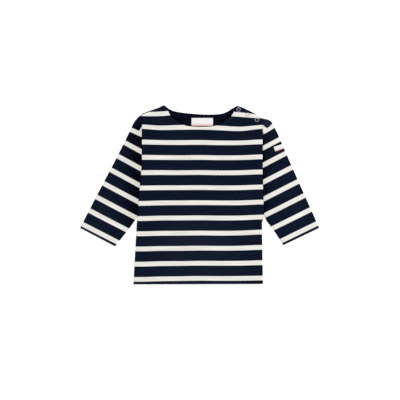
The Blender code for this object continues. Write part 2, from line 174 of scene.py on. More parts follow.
BACK_NECK: tuple[Plan, ...] = (
    (-65.5, 174.6), (-57.0, 168.7), (-47.9, 165.4), (-24.0, 161.8), (11.8, 159.3), (41.0, 160.4),
    (56.0, 165.3), (65.3, 171.6),
)
FRONT_NECK: tuple[Plan, ...] = (
    (-63.0, 168.1), (-58.9, 157.8), (-45.9, 146.7), (-31.0, 138.1), (-12.0, 135.1), (15.0, 135.0),
    (33.0, 137.1), (50.0, 146.2), (63.2, 156.0), (68.8, 165.1),
)


@dataclass(frozen=True)
class Crease:
    """A soft ridge, or a trough where its rise is below nothing, along a line in plan."""

    x0: float
    y0: float
    x1: float
    y1: float
    width: float
    rise: float

    def at(self, point: Vector) -> float:
        """Height that it adds at a plan point.

        Args:
            point: plan point in millimetres.

        Returns:
            The rise there in millimetres.
        """
        start = Vector((self.x0, self.y0))
        run = Vector((self.x1, self.y1)) - start
        share = (point - start).dot(run) / run.length_squared
        away = (point - start - run * share).length / self.width
        past = max(-share, share - 1, 0.0) * run.length / self.width
        return self.rise * math.exp(-away * away - past * past)


# The largest soft folds, which the solids have too
FRONT_FOLDS = (
    Crease(-108.0, 34.0, -38.0, -4.0, 17.0, 1.1),
    Crease(118.0, 20.0, 52.0, -26.0, 18.0, 1.0),
    Crease(-70.0, -92.0, 38.0, -108.0, 21.0, 0.8),
    Crease(-22.0, 78.0, 66.0, 66.0, 20.0, 0.7),
    Crease(60.0, -70.0, 104.0, -128.0, 18.0, 0.9),
)
SLEEVE_FOLDS = (
    Crease(-134.0, -30.0, -168.0, 28.0, 14.0, 0.8),
    Crease(-158.0, -62.0, -196.0, -22.0, 13.0, 0.6),
    Crease(-126.0, 62.0, -150.0, 88.0, 14.0, 0.8),
    Crease(138.0, -26.0, 170.0, 22.0, 14.0, 0.7),
    Crease(162.0, -58.0, 200.0, -30.0, 13.0, 0.6),
    Crease(134.0, 70.0, 150.0, 40.0, 14.0, 0.7),
)
# Smaller ones
FRONT_CREASES = (
    Crease(-112.0, 118.0, -84.0, 96.0, 5.0, 0.45),
    Crease(-110.0, 84.0, -92.0, 60.0, 6.0, -0.30),
    Crease(121.0, 108.0, 96.0, 92.0, 6.0, 0.40),
    Crease(122.0, 70.0, 104.0, 40.0, 7.0, -0.25),
    Crease(-60.0, 120.0, -34.0, 112.0, 9.0, 0.30),
    Crease(30.0, 116.0, 74.0, 128.0, 8.0, 0.35),
    Crease(-118.0, -52.0, -88.0, -66.0, 7.0, 0.35),
    Crease(121.0, -54.0, 96.0, -78.0, 8.0, 0.30),
    Crease(-20.0, 10.0, 20.0, 24.0, 14.0, 0.25),
    Crease(-96.0, -150.0, -60.0, -132.0, 9.0, 0.25),
    Crease(14.0, -150.0, 58.0, -138.0, 10.0, 0.25),
)
SLEEVE_CREASES = (
    Crease(-115.5, 112.4, -119.7, 127.7, 2.6, -0.9),
    Crease(-119.5, 110.0, -124.0, 126.0, 3.2, 0.5),
    Crease(126.2, 119.3, 134.5, 131.3, 2.6, -0.9),
    Crease(130.5, 117.0, 138.5, 128.5, 3.2, 0.5),
    Crease(-120.0, 30.0, -138.0, 46.0, 6.0, 0.35),
    Crease(-126.0, -10.0, -150.0, 2.0, 7.0, 0.4),
    Crease(-176.0, -30.0, -200.0, -2.0, 6.0, -0.3),
    Crease(-148.0, 60.0, -164.0, 82.0, 7.0, 0.3),
    Crease(132.0, 12.0, 150.0, 30.0, 6.0, 0.35),
    Crease(136.0, -16.0, 156.0, -2.0, 7.0, 0.4),
    Crease(180.0, -20.0, 200.0, 16.0, 7.0, -0.3),
    Crease(150.0, 96.0, 162.0, 70.0, 6.0, 0.3),
)
BACK_CREASES = (
    Crease(-96.0, 60.0, -40.0, 44.0, 12.0, 0.18),
    Crease(100.0, 20.0, 44.0, 2.0, 13.0, 0.16),
    Crease(-60.0, -70.0, 20.0, -84.0, 15.0, 0.15),
    Crease(20.0, 104.0, 78.0, 118.0, 11.0, 0.18),
    Crease(50.0, -100.0, 96.0, -132.0, 12.0, 0.14),
)


class Track:
    """A line of straight pieces through plan points, read by its length or by a coordinate."""

    def __init__(self, points: Iterable[Sequence[float]]) -> None:
        """Measures the line.

        Args:
            points: the plan points that it passes through.
        """
        self.points = [Vector(p) for p in points]
        self.marks = [0.0]
        for a, b in zip(self.points, self.points[1:]):
            self.marks.append(self.marks[-1] + (b - a).length)
        self.length = self.marks[-1]

    def between(self, i: int, share: float) -> Vector:
        """The point at a share of the way along one straight piece."""
        return self.points[i - 1].lerp(self.points[i], share)

    def at(self, distance: float) -> Vector:
        """The point at a distance along the line, which may run past either end.

        Args:
            distance: length from the first point.

        Returns:
            The plan point.
        """
        i = min(max(bisect.bisect_right(self.marks, distance), 1), len(self.points) - 1)
        return self.between(i, (distance - self.marks[i - 1]) / (self.marks[i] - self.marks[i - 1]))

    def crossing(self, value: float, axis: int) -> Vector:
        """The point where the line, which runs one way along an axis, has a value on it.

        Args:
            value: the coordinate looked for.
            axis: 0 for x, 1 for y.

        Returns:
            The plan point, on the nearest end piece's line if the value lies past it.
        """
        values = [p[axis] for p in self.points]
        i = min(max(bisect.bisect_left(values, value), 1), len(values) - 1)
        return self.between(i, (value - values[i - 1]) / (values[i] - values[i - 1]))

    def gap(self, point: Vector) -> float:
        """Distance from a plan point to the line.

        Args:
            point: the plan point.

        Returns:
            The shortest distance in millimetres.
        """
        best = math.inf
        for a, b in zip(self.points, self.points[1:]):
            run = b - a
            share = min(max((point - a).dot(run) / run.length_squared, 0.0), 1.0)
            best = min(best, (point - a - run * share).length)
        return best


def smooth(points: Iterable[Sequence[float]], steps: int = 6) -> list[Vector]:
    """More points on the smooth curve through the given ones.

    Args:
        points: points that the curve passes through.
        steps: pieces between two of them.

    Returns:
        The points of the finer line.
    """
    points = [Vector(p) for p in points]
    padded = [2 * points[0] - points[1], *points, 2 * points[-1] - points[-2]]
    line = []
    for a, b, c, d in zip(padded, padded[1:], padded[2:], padded[3:]):
        for k in range(steps):
            t = k / steps
            bend = 2 * a - 5 * b + 4 * c - d
            twist = 3 * b - a - 3 * c + d
            line.append((2 * b + (c - a) * t + bend * t**2 + twist * t**3) / 2)
    return [*line, points[-1]]


def top_line(neckline: tuple[Plan, ...]) -> Track:
    """Shoulder, neckline and shoulder, from the wearer's right to the wearer's left.

    Args:
        neckline: points between the two neck points.

    Returns:
        The whole top edge.
    """
    right, left = HALVES
    shoulders = right.mirrored(right.tip, *right.shoulder)
    far = left.mirrored(*reversed(left.shoulder), left.tip)
    neck = smooth([*right.mirrored(right.neck), *neckline, *left.mirrored(left.neck)])
    return Track([*shoulders, *neck, *far])


def outer_line(half: HalfOutline) -> Track:
    """Outer fold of a sleeve, from the shoulder's tip to the cuff."""
    head = smooth(half.mirrored(half.tip, *half.head, half.elbow), steps=5)
    return Track([*head, *half.mirrored(half.cuff_out)])


SIDES = [Track(h.mirrored(h.hem, h.waist, h.armpit, *h.armhole, h.tip)) for h in HALVES]
OUTER = [outer_line(h) for h in HALVES]
UNDERARM = [Track(h.mirrored(h.armpit, h.underarm, h.cuff_in)) for h in HALVES]
CUFFS = [Track(h.mirrored(h.cuff_out, h.cuff_in)) for h in HALVES]
HEM = Track([h.mirrored(h.hem)[0] for h in HALVES])
BACK_TOP = top_line(BACK_NECK)
FRONT_TOP = top_line(FRONT_NECK)
NECK_POINTS = [h.sign * h.neck[0] for h in HALVES]


@dataclass(frozen=True)
class Rim:
    """A soft band along a line, or along both sides of it at an offset."""

    line: Track
    width: float
    rise: float
    offset: float = 0.0

    def at(self, point: Vector) -> float:
        """How strong it is at a plan point."""
        away = (self.line.gap(point) - self.offset) / self.width
        return self.rise * math.exp(-away * away)


@dataclass(frozen=True)
class PaintedLight:
    """Painted light and shade on cloth: where its colour is painted lighter as a highlight or sheen, and
    darker as shade beside a seam or in a fold.
    """

    patches: tuple[Union[Crease, Rim], ...] = ()

    def at(self, point: Vector) -> float:
        """How much lighter the colour is painted at a point, or darker as painted shade where it is below
        nothing.
        """
        plan = Vector(point[:2])
        return sum(patch.at(plan) for patch in self.patches)


# Painted light and shade on the body: a painted sheen lightens the navy over the belly and above the hem, the
# wearer's right side below the shoulder is a little darker, and a painted highlight lies where the front's
# neckline turns on the wearer's left.
BODY_PAINTED_LIGHT = PaintedLight((
    Crease(-40.0, -88.0, 30.0, -96.0, 42.0, 0.45),
    Crease(-70.0, -160.0, 60.0, -158.0, 26.0, 0.18),
    Crease(-104.0, 140.0, -100.0, 60.0, 20.0, -0.15),
    Crease(57.0, 149.0, 64.0, 156.0, 4.5, 0.5),
))
# Painted light and shade on the sleeves: painted shade beside each armhole seam and at the wearer's right
# sleeve head, a thin painted seam shadow along each armhole, a painted highlight on the wearer's left sleeve
# head, and a little lighter across each sleeve's lower outer part.
SLEEVE_PAINTED_LIGHT = (
    PaintedLight((
        Crease(-124.1, -45.5, -116.0, 112.0, 27.0, -0.95),
        Crease(-115.5, 126.0, -118.5, 136.0, 6.0, -0.9),
        Rim(SIDES[0], 1.6, -0.4),
        Crease(-190.0, -20.0, -205.0, -60.0, 26.0, 0.2),
    )),
    PaintedLight((
        Crease(128.6, -44.8, 125.3, 118.0, 11.0, -0.75),
        Crease(128.0, 141.0, 138.0, 138.0, 9.0, 1.1),
        Rim(SIDES[1], 1.6, -0.4),
        Crease(190.0, -20.0, 205.0, -60.0, 26.0, 0.2),
    )),
)
# Painted shade on the facing: a dark rim along the back's bound neck edge, the painted shadow of the front's
# neckline, a dark band 14 mm below the back's edge, a painted shadow beside the label's side and a dark line
# near the wearer's left neck point.
FACING_PAINTED_SHADE = PaintedLight((
    Rim(BACK_TOP, 1.8, -0.9),
    Rim(FRONT_TOP, 2.7, -1.3),
    Rim(BACK_TOP, 1.1, -0.9, 14.0),
    Crease(61.0, 160.0, 53.0, 153.5, 1.4, -0.8),
    Crease(27.9, 137.0, 27.9, 151.5, 1.4, -0.9),
))


def ease(distance: float, flat: float, fade: float) -> float:
    """One up to a distance, then falling softly to nothing.

    Args:
        distance: where to read it.
        flat: how far it stays one.
        fade: length of the fall.

    Returns:
        A share from one to nothing.
    """
    t = min(max((distance - flat) / fade, 0.0), 1.0)
    return 1 - t * t * (3 - 2 * t)


def ripple(point: Vector, seed: float, size: float, depth: float) -> float:
    """Soft unevenness of cloth that isn't pressed.

    Args:
        point: plan point in millimetres.
        seed: which of many like patterns.
        size: millimetres from one soft swell to the next.
        depth: its largest height.

    Returns:
        Height in millimetres, above or below nothing.
    """
    return depth * noise.noise(Vector((point.x / size, point.y / size, seed)))


def front_height(point: Vector) -> float:
    """Height of the front's middle: raised over the hem, the edges, the facing and the snaps.

    Args:
        point: plan point in millimetres.

    Returns:
        Height in millimetres, large folds included.
    """
    x, y = point
    half, side = HALVES[x > 0], SIDES[x > 0]
    from_side = abs(side.crossing(y, 1).x - x)
    above_armpit = ease(half.armpit[1] + ARMPIT_RUN - y, 0, ARMPIT_RUN)
    edge_top = SIDE_TOP + (ARMHOLE_TOP - SIDE_TOP) * above_armpit
    below_top = FRONT_TOP.crossing(x, 0).y - y
    below_facing = BACK_TOP.crossing(x, 0).y - FACING_DEPTH - y
    right_neck, left_neck = NECK_POINTS
    lifts = (
        (HEM_TOP, ease(y - HEM.crossing(x, 0).y, HEM_DEPTH + LEVEL, FALL)),
        (edge_top, ease(from_side, LEVEL, FALL)),
        (SHOULDER_TOP, ease(below_top, LEVEL, FALL) * ease(x - right_neck, 0, SEAM_RUN)),
        (NECK_TOP, ease(below_facing, LEVEL, NECK_FALL) * ease(abs(x), left_neck + LEVEL, SEAM_RUN)),
        (PLACKET_TOP, ease(below_top, PLACKET_DEPTH, PLACKET_FALL) * ease(left_neck - x, LEVEL, SEAM_RUN)),
    )
    raised = max((top - FLAT_TOP) * share for top, share in lifts)
    folds = sum(fold.at(point) for fold in FRONT_FOLDS)
    return FLAT_TOP + raised + folds * ease(raised, HALF, CLOTH)


def sleeve_height(side: int, point: Vector) -> float:
    """Height of a sleeve's upper layer: low along its folds, soft in the middle, raised at the cuff.

    Args:
        side: 0 for the wearer's right, 1 for the left.
        point: plan point in millimetres.

    Returns:
        Height in millimetres, large folds included.
    """
    at_cuff = ease(CUFFS[side].gap(point), CUFF_DEPTH + LEVEL, CUFF_FALL)
    edge = min(OUTER[side].gap(point), UNDERARM[side].gap(point))
    inside = 1 - ease(edge, HALF, FALL)
    off_seam = 1 - ease(SIDES[side].gap(point), HALF, FALL)
    soft = SLEEVE_PUFF * inside + sum(fold.at(point) for fold in SLEEVE_FOLDS)
    raised = SLEEVE_TOP + soft * inside * off_seam * (1 - at_cuff)
    return raised + (HEM_TOP - SLEEVE_TOP) * at_cuff


def divided(keys: Sequence[float], step: float) -> list[float]:
    """The keys with equal stations between them, no more than a step apart.

    Args:
        keys: values that are always stations.
        step: the largest distance between two stations.

    Returns:
        All the stations in order.
    """
    stations = [keys[0]]
    for a, b in zip(keys, keys[1:]):
        cells = max(1, math.ceil(abs(b - a) / step))
        stations += [a + (b - a) * k / cells for k in range(1, cells + 1)]
    return stations


@dataclass(frozen=True)
class Curl:
    """Cloth that turns out of its plane by a share of a right angle and ends in a straight lip."""

    turn: float
    radius: float
    lip: float

    def at(self, part: float) -> tuple[float, float, float]:
        """How far the curl has come.

        Args:
            part: 0 to 1 on the arc, and 1 to 2 on the lip.

        Returns:
            Reach, drop and slope.
        """
        bent = min(part, 1.0) * math.pi / 2
        slope = self.turn * bent
        reach, drop = self.radius * bent, 0.0
        if self.turn > 0.01:
            reach = self.radius / self.turn * math.sin(slope)
            drop = self.radius / self.turn * (1 - math.cos(slope))
        over = max(part - 1.0, 0.0) * self.lip
        return reach + over * math.cos(slope), drop + over * math.sin(slope), slope

    def run(self, part: float) -> float:
        """Length of cloth up to a part of the curl."""
        return self.radius * min(part, 1.0) * math.pi / 2 + max(part - 1.0, 0.0) * self.lip

    def room(self) -> float:
        """Plan distance that the whole curl and its wall take."""
        return self.at(2.0)[0] + HALF * math.sin(self.turn * math.pi / 2)


# Stripes

STRIPE = 30.03
STRIPE_TWO_Y = 133.66
ECRU_SHARE = 0.153
NAVY_PHASE = 0.5
HEM_PULL = 1.04


@dataclass(frozen=True)
class Wander:
    """How far one stripe of the body lies below its even place, read across the shirt."""

    number: float
    sag: tuple[float, ...]


def pulled_in(number: float, last: int) -> float:
    """Draws the last ecru stripe in from the fold of a hem, so that more navy shows there.

    Args:
        number: even stripe number.
        last: number of the stripe beside the fold.

    Returns:
        The stripe number that the cloth has there.
    """
    return last + (number - last) * HEM_PULL if number > last else number


@dataclass(frozen=True)
class BodyStripes:
    """Even stripes across the body that wander a little as the cloth was laid down."""

    stations: tuple[float, ...] = (-113.0, -79.0, -39.0, 1.0, 41.0, 80.0, 124.0)
    wanders: tuple[Wander, ...] = (
        Wander(1, (4.3, 3.4, 0.4, 0.0, 2.0, 5.0, 9.6)),
        Wander(2, (-1.7, 0.8, 0.2, 0.0, 1.4, 3.1, -1.6)),
        Wander(3, (-0.7, 0.0, 0.3, 0.0, 0.7, 0.6, -1.1)),
        Wander(5, (0.0, -0.1, 0.1, -0.2, 0.4, 0.1, -1.4)),
        Wander(7, (1.2, 0.2, -0.1, -0.3, 0.1, 0.0, -1.5)),
        Wander(9, (1.4, 0.6, 0.5, 0.1, 0.4, 0.0, -2.1)),
        Wander(12, (2.1, 1.1, 0.6, 0.0, 0.2, 0.1, -0.6)),
    )
    last: int = 12

    def sag(self, x: float, number: float) -> float:
        """How far the stripes lie below their even place.

        Args:
            x: distance across the shirt.
            number: stripe number, counted from the shoulders.

        Returns:
            Millimetres down.
        """
        rows = self.wanders
        j = min(max(bisect.bisect_left([w.number for w in rows], number), 1), len(rows) - 1)
        low, high = rows[j - 1], rows[j]
        share = min(max((number - low.number) / (high.number - low.number), 0.0), 1.0)
        i = min(max(bisect.bisect_left(self.stations, x), 1), len(self.stations) - 1)
        along = (x - self.stations[i - 1]) / (self.stations[i] - self.stations[i - 1])
        along = min(max(along, 0.0), 1.0)
        values = []
        for row in (low, high):
            a, b = row.sag[i - 1], row.sag[i]
            before = row.sag[max(i - 2, 0)]
            after = row.sag[min(i + 1, len(row.sag) - 1)]
            bend = 2 * before - 5 * a + 4 * b - after
            twist = 3 * a - before - 3 * b + after
            values.append((2 * a + (b - before) * along + bend * along**2 + twist * along**3) / 2)
        return values[0] + (values[1] - values[0]) * share

    def phase(self, point: Vector) -> float:
        """Stripe number at a plan point: a whole number in the middle of each ecru stripe."""
        number = 2 + (STRIPE_TWO_Y - point.y) / STRIPE
        for _ in range(3):
            number = 2 + (STRIPE_TWO_Y - point.y - self.sag(point.x, number)) / STRIPE
        return pulled_in(number, self.last)


@dataclass(frozen=True)
class Tuck:
    """Small fold at a sleeve's head, past which the first stripe turns up to meet the body's."""

    foot: Plan
    apex: Plan
    upper: Plan
    scale: float
    head: tuple[Plan, ...] = ()


@dataclass(frozen=True)
class SleeveStripes:
    """Stripes across a sleeve, which fan out a little towards the cuff."""

    side: int
    tilt: float
    first: float
    period: float
    fan: Plan
    head_fan: Plan
    tuck: Tuck
    last: int

    @cached_property
    def middle(self) -> tuple[Vector, Vector]:
        """Start and run of the line down the middle of the sleeve."""
        half = HALVES[self.side]
        tip, armpit, cuff_out, cuff_in = half.mirrored(half.tip, half.armpit, half.cuff_out, half.cuff_in)
        start = (tip + armpit) / 2
        return start, (cuff_out + cuff_in) / 2 - start

    def axes(self) -> tuple[Vector, Vector]:
        """Plan directions down the sleeve and across it, away from the body."""
        sign = HALVES[self.side].sign
        down = Vector((sign * math.sin(self.tilt), -math.cos(self.tilt)))
        return down, Vector((sign * math.cos(self.tilt), math.sin(self.tilt)))

    def phase(self, point: Vector) -> float:
        """Stripe number at a plan point: a whole number in the middle of each ecru stripe.

        Args:
            point: plan point in millimetres.

        Returns:
            The stripe number, with 0 at the sleeve's head.
        """
        down, out = self.axes()
        along = point.dot(down)
        number = 1 + (along - self.first) / self.period
        start, axis = self.middle
        from_start = point - start
        spread = from_start.dot(out) - axis.dot(out) * from_start.dot(down) / axis.dot(down)
        share = min(max((number - 2) / 5, 0.0), 1.0)
        along -= spread * (self.fan[0] + (self.fan[1] - self.fan[0]) * share)
        turn, still = self.head_fan
        along -= (spread - still) * turn * min(max(1 - number, 0.0), 1.0)
        foot, apex, upper = (Vector(p) for p in (self.tuck.foot, self.tuck.apex, self.tuck.upper))
        sign = HALVES[self.side].sign
        beyond = (point - foot).cross(apex - foot) * sign
        if beyond >= 0 or not foot.y - STRIPE / 2 < point.y < upper.y + STRIPE:
            return pulled_in(1 + (along - self.first) / self.period, self.last)
        edge = (upper - apex).normalized()
        above = (point - apex).cross(edge) * sign
        if above < 0 or not self.tuck.head:
            return -ECRU_SHARE - above * self.tuck.scale / self.period
        near, far = (Vector(p) for p in self.tuck.head)
        room = (point - near).cross((far - near).normalized()) * sign
        band = 1 - 2 * ECRU_SHARE
        return max(-1.0, -ECRU_SHARE - band * (above / (above + room) if room > 0 else 1 - room / STRIPE))


SLEEVE_STRIPES = (
    SleeveStripes(0, math.radians(29.0), -18.4, 30.27, (0.004, 0.034), (0.093, 26.7),
                  Tuck((-115.5, 112.4), (-119.7, 127.2), (-115.5, 134.3), 0.95,
                       ((-113.0, 156.1), (-119.0, 156.1))), 7),
    SleeveStripes(1, math.radians(26.8), -25.4, 30.27, (-0.015, 0.014), (-0.086, 68.1),
                  Tuck((126.2, 119.3), (134.5, 130.9), (125.2, 139.4), 0.8,
                       ((120.0, 150.0), (135.0, 149.4))), 7),
)
BODY_STRIPES = BodyStripes()


# Shader graphs


class Num:
    """A number in a shader, which adds Math nodes where Python's operators are used on it."""

    def __init__(self, graph: "Graph", socket: bpy.types.NodeSocket) -> None:
        """Wraps a socket of a graph."""
        self.graph, self.socket = graph, socket

    def __add__(self, other: Any) -> "Num":
        """Sum."""
        return self.graph.math("ADD", self, other)

    __radd__ = __add__

    def __sub__(self, other: Any) -> "Num":
        """Difference."""
        return self.graph.math("SUBTRACT", self, other)

    def __rsub__(self, other: Any) -> "Num":
        """Difference from a plain number."""
        return self.graph.math("SUBTRACT", other, self)

    def __mul__(self, other: Any) -> "Num":
        """Product."""
        return self.graph.math("MULTIPLY", self, other)

    __rmul__ = __mul__

    def __truediv__(self, other: Any) -> "Num":
        """Quotient."""
        return self.graph.math("DIVIDE", self, other)

    def __gt__(self, other: Any) -> "Num":
        """One where it is above the other value."""
        return self.graph.math("GREATER_THAN", self, other)

    def __lt__(self, other: Any) -> "Num":
        """One where it is below the other value."""
        return self.graph.math("LESS_THAN", self, other)

    def __abs__(self) -> "Num":
        """Size without its sign."""
        return self.graph.math("ABSOLUTE", self)

    def part(self) -> "Num":
        """Fraction above the next lower whole number."""
        return self.graph.math("FRACT", self)

    def wave(self) -> "Num":
        """Cosine of that many whole turns, from nothing to one."""
        return self.graph.math("COSINE", self * math.tau) * 0.5 + 0.5

    def step(self, low: float, high: float) -> "Num":
        """Soft step from nothing at the low value to one at the high one.

        Args:
            low: value that gives nothing.
            high: value that gives one.

        Returns:
            The step, with level ends.
        """
        node = self.graph.node("ShaderNodeMapRange", {"interpolation_type": "SMOOTHSTEP"},
                               {"Value": self, "From Min": low, "From Max": high})
        return Num(self.graph, node.outputs["Result"])


class Graph:
    """A material whose nodes are added by expressions and by one method for other kinds of node."""

    def __init__(self, name: str) -> None:
        """Starts an empty material."""
        self.material = bpy.data.materials.new(name)
        self.material.use_nodes = True
        self.tree = self.material.node_tree
        self.tree.nodes.clear()

    def feed(self, socket: bpy.types.NodeSocket, value: Any) -> None:
        """Links a socket, or sets its value.

        Args:
            socket: the input.
            value: a number, a colour, a Num or an output socket.
        """
        source = value.socket if isinstance(value, Num) else value
        if isinstance(source, bpy.types.NodeSocket):
            self.tree.links.new(source, socket)
        elif isinstance(source, tuple) and len(source) == 3 and socket.type == "RGBA":
            socket.default_value = (*source, 1.0)
        else:
            socket.default_value = source

    def node(self, kind: str, settings: Optional[dict[str, Any]] = None,
             sockets: Optional[dict[Any, Any]] = None) -> bpy.types.Node:
        """Adds a node.

        Args:
            kind: Blender's name of its type.
            settings: properties, set first.
            sockets: value or link of each input, by name or number.

        Returns:
            The node.
        """
        made = self.tree.nodes.new(kind)
        for name, value in (settings or {}).items():
            setattr(made, name, value)
        for key, value in (sockets or {}).items():
            self.feed(made.inputs[key], value)
        return made

    def math(self, operation: str, *values: Any) -> Num:
        """Adds a Math node.

        Args:
            operation: what it does.
            values: its inputs in order.

        Returns:
            Its result.
        """
        made = self.node("ShaderNodeMath", {"operation": operation}, dict(enumerate(values)))
        return Num(self, made.outputs[0])

    def mix(self, share: Any, low: Any, high: Any) -> bpy.types.NodeSocket:
        """Mixes two colours.

        Args:
            share: nothing for the first, one for the second.
            low: first colour.
            high: second colour.

        Returns:
            The mixed colour.
        """
        made = self.node("ShaderNodeMix", {"data_type": "RGBA"}, {0: share, 6: low, 7: high})
        return made.outputs[2]

    def cloth(self) -> tuple[Num, Num, Num]:
        """Millimetres across the wales and along them, and the stripe number."""
        attribute = self.node("ShaderNodeAttribute", {"attribute_name": PATTERN})
        split = self.node("ShaderNodeSeparateXYZ", None, {0: attribute.outputs["Vector"]})
        across, along, stripe = (Num(self, out) for out in split.outputs)
        return across, along, stripe

    def painted_light(self) -> Num:
        """How much lighter the colour is painted as a highlight, or darker as painted shade where it is below
        nothing.
        """
        attribute = self.node("ShaderNodeAttribute", {"attribute_name": PAINTED_LIGHT})
        return Num(self, attribute.outputs["Fac"])

    def speckle(self, size: float, detail: float = 2.0) -> Num:
        """Uneven shade on the piece's own coordinates.

        Args:
            size: rough size of a patch, in millimetres.
            detail: how many finer sizes are laid over it.

        Returns:
            A value round a half.
        """
        place = self.node("ShaderNodeTexCoord").outputs["Object"]
        made = self.node("ShaderNodeTexNoise", None,
                         {"Vector": place, "Scale": 1 / (size * MM), "Detail": detail})
        return Num(self, made.outputs["Fac"])

    def streaks(self, across: Num, along: Num, length: float, width: float) -> Num:
        """Uneven shade drawn out along the courses.

        Args:
            across: millimetres across the wales.
            along: millimetres along them.
            length: rough length of a streak, in millimetres.
            width: rough width of one.

        Returns:
            A value round a half.
        """
        place = self.node("ShaderNodeCombineXYZ", None, {"X": across / length, "Y": along / width})
        made = self.node("ShaderNodeTexNoise", None,
                         {"Vector": place.outputs["Vector"], "Scale": 1.0, "Detail": 1.0})
        return Num(self, made.outputs["Fac"])

    def relief(self, height: Num, depth: float, strength: float) -> bpy.types.NodeSocket:
        """Normal of a bumpy surface.

        Args:
            height: relief from nothing to one.
            depth: its depth in millimetres.
            strength: how strongly it shows.

        Returns:
            The normal.
        """
        made = self.node("ShaderNodeBump", None,
                         {"Strength": strength, "Distance": depth * MM, "Height": height})
        return made.outputs["Normal"]

    def surface(self, **sockets: Any) -> bpy.types.Material:
        """Ends the material in one Principled shader.

        Args:
            sockets: its inputs, with _ for a space.

        Returns:
            The material.
        """
        named = {key.replace("_", " "): value for key, value in sockets.items()}
        shader = self.node("ShaderNodeBsdfPrincipled", None, named)
        self.node("ShaderNodeOutputMaterial", None, {"Surface": shader.outputs["BSDF"]})
        return self.material


def knit(across: Num, along: Num, wale: float, course: float) -> tuple[Num, Num]:
    """Relief of plain jersey: columns of V-shaped loops.

    Args:
        across: millimetres across the wales.
        along: millimetres along them.
        wale: width of a column.
        course: height of a loop.

    Returns:
        The relief, and how far out in its column a point is, both from nothing to one.
    """
    out = abs((across / wale).part() - 0.5) * 2
    leg = 1 - abs(out * 2 - 1) * abs(out * 2 - 1)
    loops = (along / course + out * 0.62).wave()
    return leg * (loops * 0.6 + 0.4), out


@dataclass(frozen=True)
class StripedJersey:
    """Heavy cotton jersey with knitted-in ecru and navy stripes."""

    name: str = "striped_jersey"
    navy: tuple[Colour, Colour] = ((0.0022, 0.0050, 0.0150), (0.0048, 0.0092, 0.0222))
    # Painted light colours: navy and ecru darkened as painted shade, and navy lightened as a painted highlight
    # and sheen
    painted_shade_navy: Colour = (0.0003, 0.0004, 0.0024)
    painted_highlight_navy: Colour = (0.0110, 0.0160, 0.0330)
    ecru: tuple[Colour, Colour] = ((0.690, 0.675, 0.625), (0.855, 0.840, 0.790))
    painted_shade_ecru: Colour = (0.655, 0.635, 0.585)
    wale: float = 1.05
    course: float = 0.82
    roughness: float = 0.85

    def material(self) -> bpy.types.Material:
        """Knit relief, stripes with a stepped edge, yarn that varies in shade, painted shade in the knit's
        hollows, and painted light and shade from the attribute.
        """
        graph = Graph(self.name)
        across, along, stripe = graph.cloth()
        height, out = knit(across, along, self.wale, self.course)
        # The knit's relief height also darkens its hollows: painted shade
        shade = graph.speckle(1.6) * 0.3 + graph.speckle(38.0) * 0.25 + height * 0.25
        shade = shade + graph.streaks(across, along, 60.0, 4.0) * 2.0 - 0.9
        stepped = stripe + (out - 0.5) * (self.course * 0.5 / STRIPE)
        from_middle = abs((stepped + 0.5).part() - 0.5)
        soft = 0.2 / STRIPE
        is_navy = from_middle.step(ECRU_SHARE - soft, ECRU_SHARE + soft)
        # Painted light and shade: below nothing the attribute darkens navy and ecru towards their painted
        # shade colours, above it lightens navy towards the painted highlight
        painted_light = graph.painted_light()
        unshaded = painted_light + 1
        navy = graph.mix(unshaded, self.painted_shade_navy, graph.mix(shade, *self.navy))
        navy = graph.mix(painted_light, navy, self.painted_highlight_navy)
        ecru = graph.mix(unshaded, self.painted_shade_ecru, graph.mix(shade, *self.ecru))
        return graph.surface(Base_Color=graph.mix(is_navy, ecru, navy), Roughness=self.roughness,
                             Specular_IOR_Level=0.03, Sheen_Weight=0.01, Sheen_Roughness=0.45,
                             Normal=graph.relief(height, 0.22, 0.55))


@dataclass(frozen=True)
class PlainJersey:
    """Plain jersey in one dark shade."""

    name: str
    shades: tuple[Colour, Colour]
    # Colour of the painted shade
    painted_shade: Colour
    wale: float = 0.95
    course: float = 0.75

    def material(self) -> bpy.types.Material:
        """Knit relief, yarn that varies in shade, painted shade in the knit's hollows, and painted shade from
        the attribute.
        """
        graph = Graph(self.name)
        across, along, _ = graph.cloth()
        height, _ = knit(across, along, self.wale, self.course)
        # The knit's relief height darkens its hollows, and the attribute darkens the colour towards its
        # painted shade colour: both painted shade
        shade = graph.speckle(1.6) * 0.5 + graph.speckle(30.0) * 0.2 + height * 0.3
        colour = graph.mix(graph.painted_light() + 1, self.painted_shade, graph.mix(shade, *self.shades))
        return graph.surface(Base_Color=colour, Roughness=0.88, Specular_IOR_Level=0.03,
                             Normal=graph.relief(height, 0.2, 0.5))


@dataclass(frozen=True)
class WovenTape:
    """Woven label cloth: white, with a coloured band along its lower edge."""

    name: str
    band: float
    band_fade: float
    band_colour: Colour
    edge: float
    edge_colour: Colour
    white: tuple[Colour, Colour] = ((0.70, 0.69, 0.68), (0.86, 0.85, 0.84))
    pick: float = 0.34

    def material(self) -> bpy.types.Material:
        """Plain weave whose picks change colour in the band and again at the edge, with painted shade where a
        thread dips under.
        """
        graph = Graph(self.name)
        across, up, _ = graph.cloth()
        over = (across / self.pick).wave()
        under = (up / self.pick).wave()
        height = over * under + (1 - over) * (1 - under)
        # The weave's relief height darkens the threads where they dip: painted shade
        shade = graph.speckle(0.8) * 0.5 + height * 0.5
        in_band = 1 - up.step(self.band - self.band_fade, self.band + self.band_fade)
        in_edge = 1 - up.step(self.edge - 0.15, self.edge + 0.15)
        white = graph.mix(shade, *self.white)
        banded = graph.mix(in_band, white, self.band_colour)
        return graph.surface(Base_Color=graph.mix(in_edge, banded, self.edge_colour), Roughness=0.6,
                             Specular_IOR_Level=0.3, Sheen_Weight=0.1,
                             Normal=graph.relief(height, 0.1, 0.5))


